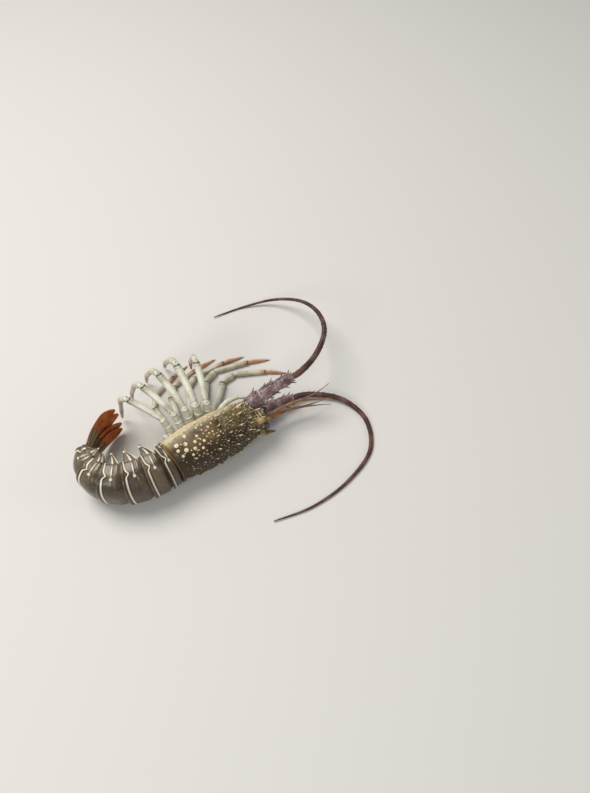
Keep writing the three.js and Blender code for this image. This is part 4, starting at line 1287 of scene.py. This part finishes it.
BASE_MARKS = ((0, 7.2), (0.4, 7.8), (0.85, 7.6), (1, 6.3))
ELBOW_MARKS = ((0, 5.6), (0.1, 6.2), (0.5, 6.3), (0.92, 6.2), (1, 5.0))
END_MARKS = ((0, 4.6), (0.1, 5.2), (0.5, 5.4), (0.88, 4.9), (1, 3.5))
for name, side in SIDES.items():
    root, first, second, third = antenna_joints(side)
    way = unit(second - first)
    base = arm_length(root, first - way * 0.15, BASE_MARKS, ([0.8], 6, 4.2), ([0.5, 0.66], 5, 1.8), 0.3)
    arm = [
        *arm_length(
            first + way * 0.15, second, ELBOW_MARKS, ([0.35, 0.8], 5, 3.8), ([0.2, 0.6], 6, 1.5), 0.2),
        *arm_length(second, third, END_MARKS, ([0.4, 0.85], 5, 3.8), ([0.2, 0.62], 6, 1.4), 0.2),
    ]
    make_piece(f"antenna_root_{name}", base, [antenna_finish], [f"antenna_base_{name}"])
    make_piece(f"antenna_stem_{name}", arm, [antenna_finish], [f"antenna_arm_{name}"])

# %% Whips of the antennae
WHIP_RINGS = 260


def whip_knots(side):
    _, _, elbow, end = antenna_joints(side)
    straight = unit(end - elbow)
    low = 1.6 - FLOOR
    upper = [
        (158, 27, -8), (184, 22, -30), (197, 10, -62), (196, -4, -92), (180, -16, -116),
        (152, low, -130), (118, low, -136),
    ]
    lower = [
        (150, -19, 4), (170, -20.6, 24), (176, low, 52), (160, low, 80), (124, low, 94),
        (84, low, 96), (48, low, 88),
    ]
    return [end + straight * GAP, end + straight * 7,
            *[vec(*knot) for knot in (upper if side > 0 else lower)]]


def whip_patches(side, begin, end):
    """Half a whip: the half-size falls as (1 - share)^0.75 and a wave of fine rings runs along it."""
    rows = 900
    s = np.linspace(begin, end, rows)
    centres, facings = curve_through(whip_knots(side), rows, begin, end)
    radius = 2.5 * (1 - s) ** 0.75 + 0.45
    wave = np.cos(s * WHIP_RINGS * 2 * np.pi)
    rings = radius * 0.035 * wave
    banding = step(np.cos(s * 2 * np.pi * 9), 0.2, 0.9)
    tube = sweep(centres, facings, radius + rings, radius + rings, 14, (0.1, 1, 0.1),
                 dark=(0.5 * step(-wave, 0.3, 1))[:, None],
                 pale=(0.35 * banding + 0.2 * (wave > 0.5))[:, None])
    count = 90
    pick = random.integers(5, rows - 5, count)
    turn_here = random.uniform(0, 6.28, count)
    deep, across = side_frames(facings[pick], vec(0.1, 1, 0.1))
    out = round_way(turn_here, deep, across)
    keep = out[:, 1] > -0.3
    small = thorns((centres[pick] + out * radius[pick][:, None])[keep], (out + facings[pick])[keep],
                   (0.25 + 0.35 * radius[pick])[keep], (0.12 * radius[pick] + 0.05)[keep], sides=5, rings=3)
    return [tube, small]


for name, side in SIDES.items():
    for part, (begin, end) in {"near": (0, 0.5), "far": (0.5, 1)}.items():
        make_piece(f"whip_{part}_{name}_skin", whip_patches(side, begin, end), [whip_finish],
                   [f"whip_{part}_{name}"])

# %% [markdown]
# ## Small feelers and mouth legs
# The forked feelers are three thin straw-coloured lengths and two threads. The mouth legs lie along the
# throat, with a fringe of hairs on their inner edge.

# %% Make the feelers and mouth legs
MOUTH_HAIRS = 120


def thread(knots, radius_marks, rows=90, sides=14, rings=0, **tints):
    s = np.linspace(0, 1, rows)
    centres, facings = curve_through(knots, rows)
    radius = eased(s, *radius_marks)
    banding = (0.5 + 0.5 * np.sin(s * rings * 2 * np.pi)) if rings else 0 * s
    return sweep(centres, facings, radius, radius, sides, dark=(0.8 * banding)[:, None], **tints)


def quadratic(a, b, c, count=9):
    t = np.linspace(0, 1, count)[:, None]
    return list((1 - t) ** 2 * a + 2 * t * (1 - t) * b + t**2 * c)


for name, side in SIDES.items():
    stalk = [
        vec(x, side * y, z) for x, y, z in ((86, 2.6, 6), (97, 3.6, 9), (112, 5, 10.5), (127, 6.5, 14))
    ]
    outer = quadratic(vec(125, side * 6.4, 13.6), vec(142, side * 8, 18), vec(156, side * 13, 17))
    inner = quadratic(vec(125, side * 6.2, 13.6), vec(140, side * 5, 21), vec(152, side * 5.6, 28))
    lengths = (
        (0, 2.0), (0.3, 1.55), (0.34, 1.2), (0.38, 1.7), (0.62, 1.4), (0.66, 1.05), (0.7, 1.5), (1, 1.3),
    )
    feeler = [thread(stalk, lengths, warm=0.5), thread(outer, ((0, 0.95), (1, 0.3)), rings=16),
              thread(inner, ((0, 0.95), (1, 0.3)), rings=16)]
    make_piece(f"feeler_{name}", feeler, [feeler_finish], [f"antennule_{name}"])
    throat = [
        vec(x, side * y, z)
        for x, y, z in ((56, 5, -13), (61, 5.8, -19), (69, 7.2, -21.5), (80, 6.4, -20.8), (89, 4.4, -15.5))
    ]
    profile = (
        (0, 2.7), (0.3, 2.9), (0.36, 2.3), (0.42, 2.7), (0.7, 2.1), (0.75, 1.6), (0.8, 1.8), (1, 0.9),
    )
    mouth_leg = thread(throat, profile, sides=24, pale=0.5)
    centres, facings = curve_through(throat, MOUTH_HAIRS, 0.25, 0.98)
    hairs = thorns(centres + random.normal(0, 0.5, (MOUTH_HAIRS, 3)),
                   vec(0.5, -side * 0.9, -0.5) + random.normal(0, 0.25, (MOUTH_HAIRS, 3)),
                   3.0, 0.12, sides=4, rings=3, warm=1.0)
    make_piece(f"mouth_leg_{name}", [mouth_leg, hairs], [leg_finish], [f"maxilliped_{name}"])

# %% [markdown]
# ## Floor, light and camera
# The floor is plain and pale. A wide soft light from above, a smaller one from the left, a faint fill from
# the right and an even sky give soft, bright light. The camera looks down over the animal's back.

# %% Floor
FLOOR_SIZE = 6.0
floor_mesh = bpy.data.meshes.new("floor")
corners = [(x * FLOOR_SIZE, y * FLOOR_SIZE, 0) for x, y in ((-1, -1), (1, -1), (1, 1), (-1, 1))]
floor_mesh.from_pydata(corners, [], [(0, 1, 2, 3)])
floor = bpy.data.objects.new("floor", floor_mesh)
bpy.context.collection.objects.link(floor)
floor_finish = bpy.data.materials.new("floor_paint")
floor_finish.use_nodes = True
floor_finish.node_tree.nodes["Principled BSDF"].inputs["Base Color"].default_value = colour("cfcbc5")
floor_finish.node_tree.nodes["Principled BSDF"].inputs["Roughness"].default_value = 0.7
floor_mesh.materials.append(floor_finish)
floor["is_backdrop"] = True

# %% Lights


def area_light(name, place, aim, size, power, tint=(1, 1, 1)):
    light = bpy.data.lights.new(name, "AREA")
    light.shape = "DISK"
    light.size = size
    light.energy = power
    light.color = tint
    lamp = bpy.data.objects.new(name, light)
    lamp.location = place
    lamp.rotation_euler = (Vector(aim) - Vector(place)).to_track_quat("-Z", "Y").to_euler()
    bpy.context.collection.objects.link(lamp)
    return lamp


area_light("sky_panel", (-0.3, 0.75, 1.6), (0, 0, 0), 1.1, 28, (1.0, 0.98, 0.95))
area_light("window", (-1.2, -0.6, 0.9), (0, 0, 0), 0.6, 8, (0.95, 0.98, 1.0))
area_light("fill", (1.2, -0.9, 0.7), (0, 0, 0), 0.8, 3, (1.0, 0.97, 0.93))
sky = bpy.data.worlds.new("sky")
sky.use_nodes = True
sky.node_tree.nodes["Background"].inputs["Color"].default_value = (0.85, 0.88, 0.92, 1)
sky.node_tree.nodes["Background"].inputs["Strength"].default_value = 0.36
bpy.context.scene.world = sky
bpy.context.scene.view_settings.view_transform = "Standard"

# %% Camera
FRAME_WIDTH, FRAME_HEIGHT = 590, 793
FOCAL_PIXELS = 600
CAMERA_PLACE = ((OFFSET_X - 35.2) * 0.001, (OFFSET_Y - 243.6) * 0.001, 0.504)
CAMERA_PAN = math.radians(-34.12)
CAMERA_TILT = math.radians(58.99)
camera = bpy.data.objects.new("camera", bpy.data.cameras.new("camera"))
camera.data.sensor_width = 36
camera.data.lens = FOCAL_PIXELS / max(FRAME_WIDTH, FRAME_HEIGHT) * camera.data.sensor_width
camera.data.clip_start = 0.01
camera.location = CAMERA_PLACE
look = Vector((
    -math.sin(CAMERA_PAN) * math.cos(CAMERA_TILT), math.cos(CAMERA_PAN) * math.cos(CAMERA_TILT),
    -math.sin(CAMERA_TILT),
))
camera.rotation_euler = look.to_track_quat("-Z", "Y").to_euler()
bpy.context.collection.objects.link(camera)
bpy.context.scene.camera = camera
print("camera at", CAMERA_PLACE)

# %% [markdown]
# ## Sizes
# The box of the solids and the box of the visual model are gathered side by side, and the visual box is
# printed. The visual model has to stay in the box of the solids.

# %% Gather the sizes
low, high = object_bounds()
sizes = {"cad": [list(cad_low), list(cad_high)], "visual": [list(low), list(high)]}
print("visual box", [round(v, 4) for v in (*low, *high)])
